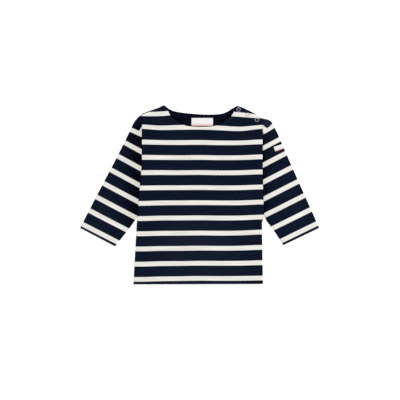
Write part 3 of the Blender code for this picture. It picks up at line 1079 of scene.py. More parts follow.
@dataclass(frozen=True)
class SnapMetal:
    """Bright pressed metal with fine rub marks."""

    name: str = "snap_metal"
    shades: tuple[Colour, Colour] = ((0.26, 0.27, 0.29), (0.46, 0.47, 0.49))

    def material(self) -> bpy.types.Material:
        """Metal whose shade and gloss vary a little."""
        graph = Graph(self.name)
        wear_and_painted_light = graph.speckle(1.2, 4.0)
        return graph.surface(Base_Color=graph.mix(wear_and_painted_light, *self.shades), Metallic=1.0,
                             Roughness=wear_and_painted_light * 0.2 + 0.22, Normal=graph.relief(wear_and_painted_light, 0.02, 0.3))


@dataclass(frozen=True)
class TonalThread:
    """Sewing thread that takes the colour of the stripe that it lies on."""

    name: str = "tonal_thread"
    navy: Colour = (0.0036, 0.0070, 0.0180)
    ecru: Colour = (0.74, 0.715, 0.65)

    def material(self) -> bpy.types.Material:
        """Twisted thread, navy on navy and ecru on ecru."""
        graph = Graph(self.name)
        _, _, stripe = graph.cloth()
        is_navy = abs((stripe + 0.5).part() - 0.5) > ECRU_SHARE
        shade = graph.speckle(0.4)
        colour = graph.mix(is_navy, self.ecru, self.navy)
        return graph.surface(Base_Color=colour, Roughness=shade * 0.2 + 0.55,
                             Specular_IOR_Level=0.2, Normal=graph.relief(shade, 0.06, 0.5))


JERSEY = StripedJersey()
# The facing's navy is darker than the front's: partly its own navy, partly painted shade of the neck's inside;
# its last colour is its painted shade
FACING_NAVY = PlainJersey("navy_facing", ((0.0013, 0.0020, 0.0086), (0.0028, 0.0040, 0.0150)),
                          (0.0002, 0.0002, 0.0008))
LABEL_TAPE = WovenTape("woven_label", 4.4, 2.2, (0.72, 0.54, 0.53), 0.9, (0.64, 0.41, 0.41))
TAB_TAPE = WovenTape("woven_tab", 5.6, 1.4, (0.72, 0.61, 0.64), 2.7, (0.060, 0.004, 0.012))
METAL = SnapMetal()
THREAD = TonalThread()


@lru_cache(maxsize=None)
def material_of(finish: Any) -> bpy.types.Material:
    """The one material of a finish."""
    return finish.material()


# Mesh building


def finished_object(name: str, bm: bmesh.types.BMesh, finish: Any) -> bpy.types.Object:
    """Turns a bmesh in millimetres into a dressed, smooth object at the origin.

    Args:
        name: the piece's name.
        bm: its mesh, which is freed.
        finish: what it is made of.

    Returns:
        The object.
    """
    bmesh.ops.scale(bm, vec=(MM, MM, MM), verts=bm.verts)
    for face in bm.faces:
        face.smooth = True
    mesh = bpy.data.meshes.new(name)
    bm.to_mesh(mesh)
    bm.free()
    mesh.materials.append(material_of(finish))
    obj = bpy.data.objects.new(name, mesh)
    bpy.context.scene.collection.objects.link(obj)
    return obj


def add_wall(obj: bpy.types.Object, thickness: float) -> bpy.types.Object:
    """Gives a sheet its thickness, half to each side.

    Args:
        obj: the sheet.
        thickness: in millimetres.

    Returns:
        The same object.
    """
    wall = obj.modifiers.new("wall", "SOLIDIFY")
    wall.thickness = thickness * MM
    wall.offset = 0.0
    wall.use_even_offset = True
    wall.use_quality_normals = True
    return obj


Placed = tuple[Vector, Vector]


def cloth_sheet(name: str, columns: Sequence[Any], rows: Sequence[Any],
                place: Callable[[Any, Any], Placed], finish: Any,
                thickness: float = CLOTH, painted_light: PaintedLight = PaintedLight()) -> bpy.types.Object:
    """A sheet of cells, each point placed by a function of its column and row.

    Args:
        name: the piece's name.
        columns: what each column of points stands for.
        rows: what each row of points stands for.
        place: gives a point's place and its pattern coordinates.
        finish: what it is made of.
        thickness: of its wall.
        painted_light: where its colour is painted lighter or darker, as painted light and shade.

    Returns:
        The object, with its wall.
    """
    bm = bmesh.new()
    pattern = bm.verts.layers.float_vector.new(PATTERN)
    # Layer for painted light and shade: how much lighter or darker the colour is painted
    wear_and_painted_light = bm.verts.layers.float.new(PAINTED_LIGHT)
    across, along = len(columns) - 1, len(rows) - 1
    bmesh.ops.create_grid(bm, x_segments=across, y_segments=along, size=0.5)
    for vert in bm.verts:
        i = round((vert.co.x + 0.5) * across)
        j = round((vert.co.y + 0.5) * along)
        vert.co, vert[pattern] = place(columns[i], rows[j])
        vert[wear_and_painted_light] = painted_light.at(vert.co)
    return add_wall(finished_object(name, bm, finish), thickness)


def cloth_tube(name: str, ring: Sequence[Any], rows: Sequence[Any],
               place: Callable[[Any, Any], Placed], finish: Any, painted_light: PaintedLight) -> bpy.types.Object:
    """An open tube, grown ring by ring.

    Args:
        name: the piece's name.
        ring: what each point of a ring stands for.
        rows: what each ring stands for.
        place: gives a point's place and its pattern coordinates.
        finish: what it is made of.
        painted_light: where its colour is painted lighter or darker, as painted light and shade.

    Returns:
        The object, with its wall.
    """
    bm = bmesh.new()
    pattern = bm.verts.layers.float_vector.new(PATTERN)
    # Layer for painted light and shade: how much lighter or darker the colour is painted
    wear_and_painted_light = bm.verts.layers.float.new(PAINTED_LIGHT)
    bmesh.ops.create_circle(bm, segments=len(ring), radius=1.0)
    verts, edges = list(bm.verts), list(bm.edges)
    for index, row in enumerate(rows):
        if index:
            grown = bmesh.ops.extrude_edge_only(bm, edges=edges)["geom"]
            fresh = {item for item in grown if isinstance(item, bmesh.types.BMVert)}
            verts = [next(e.other_vert(v) for e in v.link_edges if e.other_vert(v) in fresh) for v in verts]
            edges = [e for e in grown if isinstance(e, bmesh.types.BMEdge) and fresh.issuperset(e.verts)]
        for vert, station in zip(verts, ring):
            vert.co, vert[pattern] = place(station, row)
            vert[wear_and_painted_light] = painted_light.at(vert.co)
    bmesh.ops.recalc_face_normals(bm, faces=bm.faces)
    return add_wall(finished_object(name, bm, finish), CLOTH)


def flat_area(obj: bpy.types.Object) -> float:
    """Area of one side of a sheet, before its wall, in square metres."""
    return sum(polygon.area for polygon in obj.data.polygons)


@dataclass
class Piece:
    """A finished piece and how it takes its place in the frame."""

    obj: bpy.types.Object
    slot: str
    nodes: tuple[str, ...] = ()

    def settle(self) -> bpy.types.Object:
        """Rides on the body, stands for its nodes and is reported."""
        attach(self.obj, BODY)
        if self.nodes:
            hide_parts(*self.nodes)
        log.info("%s: %d faces before its modifiers", self.obj.name, len(self.obj.data.polygons))
        return self.obj


class Layer(Enum):
    """The two layers of the body."""

    FRONT = "front_panel"
    BACK = "back_panel"


class Run(Enum):
    """What a row of cloth belongs to."""

    TURNED = "turned up inside"
    FOLD = "the fold of a hem"
    CLOTH = "the cloth itself"
    EDGE = "an edge that curls"


@dataclass(frozen=True)
class Row:
    """One row of points: what it belongs to, how far along the cloth, and how far into its run."""

    run: Run
    share: float
    value: float = 0.0


@dataclass
class BodyPanel:
    """Front or back of the body, its edges turned into their seams and its hem turned up."""

    layer: Layer
    step: float = 3.3
    curl_steps: int = 5
    fold_steps: int = 8
    seam_radius: float = 0.8
    seam_lip: float = 0.5
    armpit_row: float = 0.39
    neck_turn: float = 0.4
    binding: float = 1.1

    def __post_init__(self) -> None:
        """Settles the columns and rows."""
        self.is_front = self.layer is Layer.FRONT
        self.inward = Vector((0.0, 0.0, -1.0 if self.is_front else 1.0))
        self.top = FRONT_TOP if self.is_front else BACK_TOP
        self.edges: dict[tuple[int, float], Vector] = {}
        parts = [k / self.curl_steps for k in range(1, self.curl_steps + 1)] + [2.0]
        insets = [self.side_curl(s, SIDES[s].points[-1].y).room() + SEAM_SLIT for s in (0, 1)]
        self.x_ends = [HALVES[s].sign * (HALVES[s].tip[0] - insets[s]) for s in (0, 1)]
        span = self.x_ends[1] - self.x_ends[0]
        keys = [self.x_ends[0], NECK_POINTS[0], NECK_POINTS[1], self.x_ends[1]]
        self.columns = [(0.0, -part) for part in reversed(parts)]
        self.columns += [((x - self.x_ends[0]) / span, 0.0) for x in divided(keys, self.step)]
        self.columns += [(1.0, part) for part in parts]
        armpit, hem = HALVES[0].armpit[1], HALVES[0].hem[1]
        hem_row = self.armpit_row * HEM_DEPTH / (armpit - hem)
        length = HALVES[0].tip[1] - hem
        hem_rows = divided([0.0, hem_row], self.step / length)
        self.rows = [Row(Run.TURNED, level) for level in reversed(hem_rows)]
        self.rows += [Row(Run.FOLD, 0.0, math.pi * k / self.fold_steps)
                      for k in reversed(range(1, self.fold_steps))]
        self.rows += [Row(Run.CLOTH, level)
                      for level in divided([0.0, hem_row, self.armpit_row, 1.0], self.step / length)]
        self.rows += [Row(Run.EDGE, 1.0, part) for part in parts]

    def height(self, plan: Vector) -> float:
        """Height of the middle of the cloth.

        Args:
            plan: plan point in millimetres.

        Returns:
            Height with every fold, in millimetres.
        """
        if not self.is_front:
            return GROUND + sum(crease.at(plan) for crease in BACK_CREASES)
        edge = min(SIDES[0].gap(plan), SIDES[1].gap(plan), FRONT_TOP.gap(plan))
        small = sum(crease.at(plan) for crease in FRONT_CREASES)
        small += ripple(plan, 3.0, 46.0, 0.22) + ripple(plan, 8.0, 17.0, 0.07)
        return front_height(plan) + small * (1 - ease(edge, 1.0, 12.0))

    def side_curl(self, side: int, y: float) -> Curl:
        """How the side edge turns in: round to meet the other layer at the side seam, tight on the armhole."""
        share = ease(y - HALVES[side].armpit[1], HALF, SIDE_UNCURL)
        top = front_height(SIDES[side].crossing(y, 1))
        round_radius = (top - GROUND - 0.3) / 2 - 0.2
        radius = self.seam_radius + (round_radius - self.seam_radius) * share
        return Curl(1.0, radius, self.seam_lip + (0.2 - self.seam_lip) * share)

    def top_curl(self, x: float) -> Curl:
        """How the top edge turns in at a place across the shirt.

        Args:
            x: distance across the shirt.

        Returns:
            A round curl on the sewn shoulder, a tight one on the placket, and a slight one at the neck.
        """
        sewn = ease(x - NECK_POINTS[0], -NECK_LEAD, TOP_UNCURL)
        placket = ease(NECK_POINTS[1] - x, -LEVEL, LEVEL) if self.is_front else 0.0
        round_radius = (front_height(FRONT_TOP.crossing(x, 0)) - GROUND - 0.3) / 2 - 0.2
        radius = self.seam_radius + (round_radius - self.seam_radius) * sewn
        least = self.neck_turn if self.is_front else 0.0
        return Curl(least + (1.0 - least) * max(sewn, placket), radius, 0.2)

    def top_y(self, x: float) -> float:
        """Height up the shirt where the top edge begins to curl.

        Args:
            x: distance across the shirt.

        Returns:
            The plan height in millimetres.
        """
        bound = 0.0 if self.is_front else self.binding * neckline_share(x)
        return self.top.crossing(x, 0).y - self.top_curl(x).room() - bound

    def side_point(self, side: int, level: float) -> Vector:
        """Where the side edge begins to curl, and how far up, at a level."""
        key = (side, level)
        if key not in self.edges:
            x = self.x_ends[side]
            low, high = HEM.crossing(x, 0).y + FOLD + HALF, self.top_y(x)
            armpit = (HALVES[side].armpit[1] - low) / (high - low)
            if level <= self.armpit_row:
                up = armpit * level / self.armpit_row
            else:
                up = armpit + (1 - armpit) * (level - self.armpit_row) / (1 - self.armpit_row)
            y = low + (high - low) * up
            inset = self.side_curl(side, y).room()
            if y >= HALVES[side].armpit[1]:
                inset += SEAM_SLIT
            if not self.is_front:
                inset -= SEAM_LAP * (1 - ease(y - HALVES[side].armpit[1], HALF, SIDE_UNCURL))
            self.edges[key] = Vector((SIDES[side].crossing(y, 1).x - HALVES[side].sign * inset, up))
        return self.edges[key]

    def flat(self, share: float, level: float) -> Vector:
        """Plan point where neither side nor top has begun to curl.

        Args:
            share: share of the way across.
            level: share of the way up.

        Returns:
            The plan point.
        """
        x_top = self.x_ends[0] + (self.x_ends[1] - self.x_ends[0]) * share
        low, high = HEM.crossing(x_top, 0).y + FOLD + HALF, self.top_y(x_top)
        left, right = self.side_point(0, level), self.side_point(1, level)
        y = low + (high - low) * (left.y + (right.y - left.y) * share)
        return Vector((left.x + (right.x - left.x) * share, y))

    def place(self, column: tuple[float, float], row: Row) -> Placed:
        """Middle of the cloth at a column and a row, and its pattern coordinates.

        Args:
            column: share of the way across, and part of a side's curl.
            row: the row.

        Returns:
            The point, and millimetres across, millimetres along and stripe number.
        """
        share, part = column
        plan = self.flat(share, row.share)
        side = 1 if part > 0 else 0
        reach = drop = slope = across = 0.0
        if part:
            curl = self.side_curl(side, plan.y)
            reach, drop, slope = curl.at(abs(part))
            across = curl.run(abs(part)) * HALVES[side].sign
        outward = Vector((HALVES[side].sign, 0.0, 0.0))
        point = Vector((*plan, self.height(plan))) + outward * reach + self.inward * drop
        inward = self.inward * math.cos(slope) - outward * math.sin(slope)
        source = Vector((plan.x + across, plan.y))
        if row.run is Run.EDGE:
            curl = self.top_curl(plan.x)
            rise, sink, _ = curl.at(row.value)
            point += Vector((0.0, rise, 0.0)) + self.inward * sink
            source.y += curl.run(row.value)
        if row.run is Run.TURNED:
            point += inward * LAYER
            low = self.flat(share, 0.0).y
            source.y = low - FOLD * math.pi - (plan.y - low)
        if row.run is Run.FOLD:
            point += inward * FOLD * (1 - math.cos(row.value))
            point -= Vector((0.0, FOLD * math.sin(row.value), 0.0))
            source.y -= FOLD * row.value
        phase = BODY_STRIPES.phase(source)
        if self.is_front and row.run is Run.EDGE and plan.x < NECK_POINTS[0]:
            phase = NAVY_PHASE
        return point, Vector((source.x, source.y, phase))

    def build(self) -> bpy.types.Object:
        """Makes the panel and settles it in the place of its node."""
        panel = cloth_sheet(f"{self.layer.value}_cloth", self.columns, self.rows, self.place, JERSEY,
                            painted_light=BODY_PAINTED_LIGHT)
        return Piece(panel, "striped_jersey", (self.layer.value,)).settle()


def neckline_share(x: float) -> float:
    """How fully the neck's binding covers the back's edge at a place across the shirt."""
    right = 1 - ease(x - NECK_POINTS[0], TOP_UNCURL, LEVEL)
    return right * ease(x - NECK_POINTS[1], -2 * LEVEL, LEVEL)


@dataclass
class Sleeve:
    """A flattened tube from the armhole to the cuff, its cuff turned up inside."""

    side: int
    name: str
    step: float = 2.8
    width_cells: int = 72
    fold_cells: int = 8
    seam_radius: float = 0.8
    seam_lip: float = 0.4
    curl_steps: int = 4
    armpit_ease: float = 1.2

    def __post_init__(self) -> None:
        """Settles the stations round the tube and the rows along it."""
        self.half = HALVES[self.side]
        self.stripes = SLEEVE_STRIPES[self.side]
        self.curl = Curl(1.0, self.seam_radius, self.seam_lip)
        self.armhole_chord = Track([UNDERARM[self.side].at(self.armpit_ease), OUTER[self.side].points[0]])
        top = [(k / self.width_cells, 0.0) for k in range(self.width_cells + 1)]
        turns = [math.pi * k / self.fold_cells for k in range(1, self.fold_cells)]
        under = [(share, math.pi) for share, _ in reversed(top)]
        self.ring = [*top, *[(1.0, a) for a in turns], *under, *[(0.0, a) for a in reversed(turns)]]
        cells = math.ceil(OUTER[self.side].length / self.step)
        parts = [2.0] + [k / self.curl_steps for k in range(self.curl_steps, 0, -1)]
        self.rows = [Row(Run.EDGE, 0.0, part) for part in parts]
        self.rows += [Row(Run.CLOTH, k / cells, CUFF_DEPTH) for k in range(cells + 1)]
        self.rows += [Row(Run.CLOTH, 1.0, left) for left in (11.0, 7.0, 3.5, 0.0)]
        self.rows += [Row(Run.FOLD, 1.0, math.pi * k / self.fold_cells) for k in range(1, self.fold_cells)]
        self.rows += [Row(Run.TURNED, 1.0, depth) for depth in (0.0, 5.0, 10.0, CUFF_DEPTH)]

    def ends(self, share: float, left: float) -> tuple[Vector, Vector]:
        """Outer and underarm points of the outline.

        Args:
            share: share of the way down.
            left: length left before the cuff.

        Returns:
            The two plan points.
        """
        points = []
        for line, start in ((OUTER[self.side], 0.0), (UNDERARM[self.side], self.armpit_ease)):
            last = line.length - FOLD - HALF
            points.append(line.at(start + (last - left - start) * share))
        return points[0], points[1]

    def upper(self, plan: Vector) -> float:
        """Height of the upper layer with every fold, in millimetres.

        Args:
            plan: plan point in millimetres.

        Returns:
            Height of the middle of the cloth.
        """
        edge = min(OUTER[self.side].gap(plan), UNDERARM[self.side].gap(plan), CUFFS[self.side].gap(plan))
        small = sum(crease.at(plan) for crease in SLEEVE_CREASES)
        small += ripple(plan, 5.0 + self.side, 30.0, 0.2)
        return sleeve_height(self.side, plan) + small * (1 - ease(edge, 1.0, 9.0))

    def place(self, station: tuple[float, float], row: Row) -> Placed:
        """Middle of the cloth at a station of a ring, and its pattern coordinates.

        Args:
            station: share of the way across, and angle round a fold.
            row: the ring.

        Returns:
            The point, and millimetres across, millimetres along and stripe number.
        """
        across, angle = station
        left = row.value if row.run is Run.CLOTH else 0.0
        if row.run is Run.EDGE:
            left = CUFF_DEPTH
        outer, under = self.ends(row.share, left)
        chord = (outer - under).normalized()
        radius = (sleeve_height(self.side, outer) - GROUND) / 2
        inset = chord * (HALF + radius)
        plan = (outer - inset).lerp(under + inset, across)
        sign = self.half.sign
        if left == CUFF_DEPTH:
            seam = SIDES[self.side].crossing(plan.y, 1).x + sign * (SEAM_SLIT + HALF + self.seam_radius)
            seam += sign * SEAM_LAP * (1 - math.cos(angle)) / 2
            straight = self.armhole_chord.crossing(plan.y, 1).x
            plan.x += (seam - straight) * (1 - row.share) ** 2
        reach = chord * radius * math.sin(angle) * (1 if across == 0.0 else -1)
        height = GROUND + radius * (1 + math.cos(angle))
        if angle == 0.0 and 0.0 < across < 1.0:
            height = self.upper(plan)
        point = Vector((*(plan + reach), height))
        outward = Vector((*reach, 0.0)).normalized() * math.sin(angle)
        inward = -outward - Vector((0.0, 0.0, math.cos(angle)))
        down = Vector((chord.y, -chord.x, 0.0)) * sign
        source = plan + reach
        down_plan, out_plan = self.stripes.axes()
        if row.run is Run.EDGE:
            towards, drop, _ = self.curl.at(row.value)
            point += Vector((-sign * towards, 0.0, 0.0)) + inward * drop
            source = source + Vector((-sign * self.curl.run(row.value), 0.0))
        if row.run is Run.TURNED:
            point += inward * LAYER - down * row.value
            source = source + down_plan * (FOLD * math.pi + row.value)
        if row.run is Run.FOLD:
            point += inward * FOLD * (1 - math.cos(row.value)) + down * FOLD * math.sin(row.value)
            source = source + down_plan * FOLD * row.value
        over = source.dot(out_plan)
        if angle > math.pi / 2:
            over = 2 * outer.dot(out_plan) - over + math.pi * radius
        return point, Vector((over, source.dot(down_plan), self.stripes.phase(source)))

    def build(self) -> bpy.types.Object:
        """Makes the sleeve and settles it in the place of its node."""
        tube = cloth_tube(f"{self.name}_cloth", self.ring, self.rows, self.place, JERSEY,
                          SLEEVE_PAINTED_LIGHT[self.side])
        return Piece(tube, "striped_jersey", (self.name,)).settle()


@dataclass
class NeckInside:
    """Navy facing, bound over the back's neck edge, and the woven label on it."""

    ends: Plan = (-68.0, 71.5)
    step: float = 1.1
    rim: float = 1.0
    setback: float = 3.0
    label_across: Plan = (-16.2, 26.7)
    label_up: Plan = (136.4, 152.3)
    tape: float = 0.9

    def facing_point(self, x: float, row: Row) -> Placed:
        """A point of the facing.

        Args:
            x: distance across the shirt.
            row: how far down from the neck edge, or round the bound edge.

        Returns:
            The point, and millimetres across and along.
        """
        edge = BACK_TOP.crossing(x, 0).y
        bound = neckline_share(x)
        rim = self.rim + self.setback * (1 - bound)
        start = rim * (1 - bound) + (HALF + FOLD) * bound
        y = edge - start - (FACING_DEPTH - start) * row.share
        z = GROUND + LAYER + ripple(Vector((x, y)), 2.0, 24.0, 0.05)
        along = y
        if row.run is Run.EDGE:
            angle = row.value * math.pi / 2
            y += FOLD * math.sin(angle) * bound
            z -= FOLD * (1 - math.cos(angle)) * bound
            along += FOLD * angle
            if row.value > 1.0:
                y = edge - start + FOLD * bound
                z = GROUND + LAYER - (FOLD + 0.55 * (row.value - 1)) * bound
        return Vector((x, y, z)), Vector((x, along, 0.0))

    def build(self) -> list[bpy.types.Object]:
        """Makes the facing and the label."""
        columns = divided(self.ends, self.step)
        rows = [Row(Run.CLOTH, 1 - share) for share in divided([0.0, 1.0], self.step / FACING_DEPTH)]
        rows += [Row(Run.EDGE, 0.0, part) for part in (0.33, 0.67, 1.0, 2.0)]
        facing = cloth_sheet("neck_facing_cloth", columns, rows, self.facing_point, FACING_NAVY,
                             painted_light=FACING_PAINTED_SHADE)
        Piece(facing, "navy_facing", ("neck_facing",)).settle()
        base = GROUND + LAYER + HALF + 0.3 + 0.5

        def label_point(x: float, y: float) -> Placed:
            """A point of the label, which lies almost flat."""
            lift = 0.12 * noise.noise(Vector((x / 14, y / 9, 4.0)))
            return Vector((x, y, base + lift)), Vector((x, y - self.label_up[0], 0.0))

        label = cloth_sheet("neck_label_tape", divided(self.label_across, 2.2), divided(self.label_up, 2.1),
                            label_point, LABEL_TAPE, self.tape)
        Piece(label, "woven_label", ("neck_label",)).settle()
        return [facing, label]


@dataclass
class SnappedShoulder:
    """Strip of the back under the shoulder's placket, and the rings of its three snaps."""

    first: Plan = (77.6, 168.7)
    pitch: Plan = (18.2, -10.2)
    count: int = 3
    radius: float = 3.9
    width: float = 1.0
    thick: float = 0.9
    underlap_ends: Plan = (72.3, 124.4)
    underlap_depth: float = 24.0
    rim: float = 0.8

    def underlap_point(self, x: float, depth: float) -> Placed:
        """A point of the strip under the placket.

        Args:
            x: distance across the shirt.
            depth: share of the way down it.

        Returns:
            The point, and its pattern coordinates.
        """
        y = BACK_TOP.crossing(x, 0).y - self.rim - (self.underlap_depth - self.rim) * depth
        return Vector((x, y, GROUND + LAYER)), Vector((x, y, BODY_STRIPES.phase(Vector((x, y)))))

    def ring(self, number: int) -> bpy.types.Object:
        """One open ring with a rolled rim, a hollow between its rims, and a flat foot.

        Args:
            number: which snap, from the neck.

        Returns:
            The object.
        """
        centre = Vector(self.first) + Vector(self.pitch) * (number - 1)
        bm = bmesh.new()
        profile = bmesh.ops.create_circle(bm, segments=16, radius=0.5)["verts"]
        bmesh.ops.scale(bm, vec=(self.width, self.thick, 1.0), verts=profile)
        for vert in profile:
            if vert.co.y > 0:
                vert.co.y -= 0.16 * math.exp(-((vert.co.x - 0.12) / 0.18) ** 2)
            else:
                vert.co.y = max(vert.co.y, -0.4)
        turn = Matrix.Rotation(math.pi / 2, 3, "X")
        bmesh.ops.rotate(bm, matrix=turn, cent=(0, 0, 0), verts=profile)
        middle = Vector((self.radius - self.width / 2, 0.0, RING_BASE + self.thick / 2))
        bmesh.ops.translate(bm, vec=middle, verts=profile)
        bmesh.ops.spin(bm, geom=list(bm.edges) + list(bm.verts), cent=(0, 0, 0), axis=(0, 0, 1),
                       angle=math.tau, steps=56, use_merge=True, use_duplicate=False)
        bmesh.ops.translate(bm, vec=(*centre, 0.0), verts=bm.verts)
        bmesh.ops.recalc_face_normals(bm, faces=bm.faces)
        return finished_object(f"snap_ring_{number}_metal", bm, METAL)

    def build(self) -> list[bpy.types.Object]:
        """Makes the strip and the rings, and dresses the fastened sockets."""
        strip = cloth_sheet("shoulder_underlap_cloth", divided(self.underlap_ends, 3.0),
                            divided([0.0, 1.0], 0.125), self.underlap_point, JERSEY)
        pieces = [Piece(strip, "striped_jersey", ("shoulder_underlap",)).settle()]
        for number in range(1, self.count + 1):
            node = f"snap_ring_{number}"
            pieces.append(Piece(self.ring(number), "snap_metal", (node,)).settle())
            socket = frame["nodes"][f"snap_body_{number}"]
            socket.data.materials.clear()
            socket.data.materials.append(material_of(METAL))
        return pieces


@dataclass
class SleeveTab:
    """Small woven tab, curled over the outer fold of the wearer's left sleeve."""

    corner: Plan = (151.0, 83.3)
    tilt: float = math.radians(19.3)
    height: float = 11.8
    curl: float = math.radians(50)
    tape: float = 0.9

    def point(self, column: float, row: float) -> Placed:
        """A point of the tab.

        Args:
            column: 0 to 1 up to the fold, and 1 to 2 round it.
            row: millimetres up from its lower edge.

        Returns:
            The point, and millimetres across and up.
        """
        along = Vector((math.cos(self.tilt), math.sin(self.tilt)))
        up = Vector((-along.y, along.x))
        lift = HALF + 1.0
        half = HALVES[1]
        edge = half.mirrored(half.elbow, half.cuff_out)
        run = (edge[1] - edge[0]).normalized()
        out = Vector((-run.y, run.x))
        radius = (SLEEVE_TOP - GROUND) / 2
        start = Vector(self.corner) + up * row
        reach = ((edge[0] - start).dot(out) - HALF - radius) / along.dot(out)
        if column <= 1.0:
            plan = start + along * reach * column
            return Vector((*plan, sleeve_height(1, plan) + lift)), Vector((reach * column, row, 0.0))
        angle = (column - 1.0) * self.curl
        wrap = radius + lift
        plan = start + along * reach + out * wrap * math.sin(angle)
        place = Vector((*plan, GROUND + radius + wrap * math.cos(angle)))
        return place, Vector((reach + wrap * angle, row, 0.0))

    def build(self) -> bpy.types.Object:
        """Makes the tab and settles it."""
        columns = divided([0.0, 1.0, 2.0], 0.125)
        tab = cloth_sheet("sleeve_tab_tape", columns, divided([0.0, self.height], 1.7), self.point,
                          TAB_TAPE, self.tape)
        return Piece(tab, "woven_label", ("sleeve_tab",)).settle()


@dataclass
class Stitches:
    """Rows of short stitches on the cloth."""

    length: float = 2.2
    pitch: float = 3.1
    width: float = 0.34

    def row(self, name: str, line: Track, surface: Callable[[Vector], float],
            phase: Callable[[Vector], float]) -> bpy.types.Object:
        """One row along a line in plan.

        Args:
            name: the piece's name.
            line: where it runs.
            surface: gives the height of the cloth's upper face.
            phase: gives the stripe number under a point.

        Returns:
            The object.
        """
        bm = bmesh.new()
        pattern = bm.verts.layers.float_vector.new(PATTERN)
        count = max(1, int(line.length / self.pitch))
        for k in range(count):
            middle = line.at((k + 0.5) * line.length / count)
            ahead = line.at((k + 0.7) * line.length / count)
            angle = math.atan2(ahead.y - middle.y, ahead.x - middle.x)
            matrix = Matrix.Translation((*middle, surface(middle))) @ Matrix.Rotation(angle, 4, "Z")
            matrix = matrix @ Matrix.Diagonal((self.length / 2, self.width / 2, self.width / 2, 1.0))
            made = bmesh.ops.create_uvsphere(bm, u_segments=6, v_segments=4, radius=1.0, matrix=matrix)
            for vert in made["verts"]:
                vert[pattern] = Vector((middle.x, middle.y, phase(middle)))
        return Piece(finished_object(name, bm, THREAD), "striped_jersey").settle()


@dataclass
class Studio:
    """Plain pale floor, soft light and a camera straight above."""

    centre: Plan = (0.0009, -0.0109)
    shown: float = 0.7956
    lens: float = 100.0
    floor_size: float = 5.0
    glow: float = 0.3

    def floor(self) -> bpy.types.Object:
        """Makes the floor."""
        bm = bmesh.new()
        bmesh.ops.create_grid(bm, x_segments=4, y_segments=4, size=self.floor_size)
        bmesh.ops.translate(bm, vec=(0.0, 0.0, -0.00005), verts=bm.verts)
        mesh = bpy.data.meshes.new("floor")
        bm.to_mesh(mesh)
        bm.free()
        graph = Graph("pale_floor")
        shade = graph.speckle(400.0)
        colour = graph.mix(shade, (0.93, 0.93, 0.93), (0.95, 0.95, 0.95))
        mesh.materials.append(graph.surface(Base_Color=colour, Roughness=0.9, Specular_IOR_Level=0.1,
                                            Emission_Color=(1.0, 1.0, 1.0), Emission_Strength=self.glow))
        obj = bpy.data.objects.new("floor", mesh)
        bpy.context.scene.collection.objects.link(obj)
        return obj

    def lamp(self, name: str, place: tuple[float, float, float], size: float, watts: float) -> None:
        """A square soft light that faces the shirt.

        Args:
            name: its name.
            place: where it hangs, in metres.
            size: length of its side.
            watts: its power.
        """
        light = bpy.data.lights.new(name, "AREA")
        light.shape = "SQUARE"
        light.size, light.energy = size, watts
        obj = bpy.data.objects.new(name, light)
        obj.location = place
        obj.rotation_euler = Vector(place).to_track_quat("Z", "Y").to_euler()
        bpy.context.scene.collection.objects.link(obj)

    def build(self) -> None:
        """Makes the floor, the lights, the surround and the camera."""
        for obj in list(bpy.data.objects):
            if obj.type in {"LIGHT", "CAMERA"}:
                bpy.data.objects.remove(obj)
        scene = bpy.context.scene
        self.floor()
        self.lamp("overhead", (0.3, 0.5, 3.2), 2.6, 66.4)
        self.lamp("from_right", (2.4, 0.9, 1.7), 1.4, 23.0)
        world = bpy.data.worlds.new("surround")
        world.use_nodes = True
        background = world.node_tree.nodes["Background"]
        background.inputs["Color"].default_value = (1.0, 1.0, 1.0, 1.0)
        background.inputs["Strength"].default_value = 0.487
        scene.world = world
        scene.view_settings.view_transform = "Standard"
        camera = bpy.data.cameras.new("camera")
        camera.lens, camera.sensor_width = self.lens, 36.0
        camera.clip_end = 50.0
        obj = bpy.data.objects.new("camera", camera)
        obj.location = (*self.centre, self.shown * self.lens / camera.sensor_width + 0.003)
        scene.collection.objects.link(obj)
        scene.camera = obj


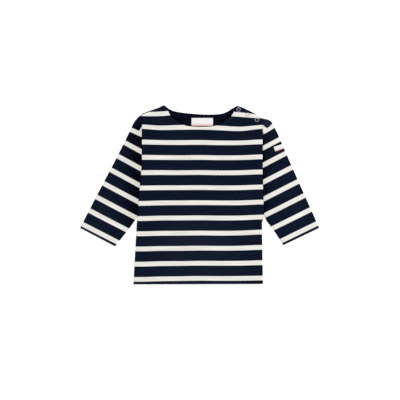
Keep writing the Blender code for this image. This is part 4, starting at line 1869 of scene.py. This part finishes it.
@dataclass
class Shirt:
    """The whole garment."""

    stitches: Stitches = field(default_factory=Stitches)
    hem_stitches: float = 17.0
    cuff_stitches: float = 13.9
    neck_stitches: float = 5.0

    def sewing(self) -> dict[str, list[bpy.types.Object]]:
        """The rows of stitches that show, by the piece that they are on."""
        front = BodyPanel(Layer.FRONT)
        half, other = HALVES
        lift = Vector((0.0, self.hem_stitches))
        hem = Track([p + lift + Vector((inset, 0.0)) for p, inset in zip(HEM.points, (3.0, -3.0))])
        rows: dict[str, list[bpy.types.Object]] = {"front": [], "sleeve_right": [], "sleeve_left": []}

        def on_front(plan: Vector) -> float:
            """Height of the front's upper face."""
            return front.height(plan) + HALF + 0.02

        rows["front"].append(self.stitches.row("hem_stitches", hem, on_front, BODY_STRIPES.phase))
        points = [p for p in FRONT_TOP.points if NECK_POINTS[0] + 3 < p.x < NECK_POINTS[1] - 3]
        inner = []
        for a, b in zip(points, points[1:]):
            run = (b - a).normalized()
            inner.append((a + b) / 2 + Vector((run.y, -run.x)) * self.neck_stitches)
        rows["front"].append(self.stitches.row("neck_stitches", Track(inner), on_front, BODY_STRIPES.phase))
        for name, side in (("sleeve_right", 0), ("sleeve_left", 1)):
            sleeve = Sleeve(side, name)
            ends = [sleeve.ends(1.0, self.cuff_stitches)[k] for k in (0, 1)]
            run = (ends[1] - ends[0]).normalized() * 4.0
            cuff = Track([ends[0] + run, ends[1] - run])
            made = self.stitches.row(f"cuff_stitches_{name[7:]}", cuff,
                                     lambda plan, s=sleeve: s.upper(plan) + HALF + 0.02,
                                     SLEEVE_STRIPES[side].phase)
            rows[name].append(made)
        return rows

    def build(self, floor: str) -> None:
        """Args:
            floor: name of what the shirt lies on; not used.
        """
        back = BodyPanel(Layer.BACK).build()
        front = BodyPanel(Layer.FRONT).build()
        right = Sleeve(0, "sleeve_right").build()
        left = Sleeve(1, "sleeve_left").build()
        facing, label = NeckInside().build()
        strip, *_ = SnappedShoulder().build()
        tab = SleeveTab().build()
        rows = self.sewing()
        cuts = (
            (back, (0.262, 0.376), floor, []),
            (front, (0.262, 0.376), back, rows["front"]),
            (right, (0.262, 0.235), floor, rows["sleeve_right"]),
            (left, (0.262, 0.235), floor, rows["sleeve_left"]),
            (facing, (0.150, 0.045), back, []),
            (strip, (0.052, 0.046), back, []),
            (label, (0.0429, 0.0159), facing, []),
            (tab, (0.0181, 0.0118), left, []),
        )
        for piece, flat, under, with_pieces in cuts:
            area = flat_area(piece)
            log.info("%s: one side is %.5f m2 of %.5f", piece.name, area, flat[0] * flat[1])
            min(area, flat[0] * flat[1])
            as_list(with_pieces)


def main() -> None:
    """Builds the studio and the shirt."""
    logging.basicConfig(level=logging.INFO, format="%(name)s: %(message)s")
    Studio().build()
    Shirt().build("floor")


if __name__ == "__main__":
    main()
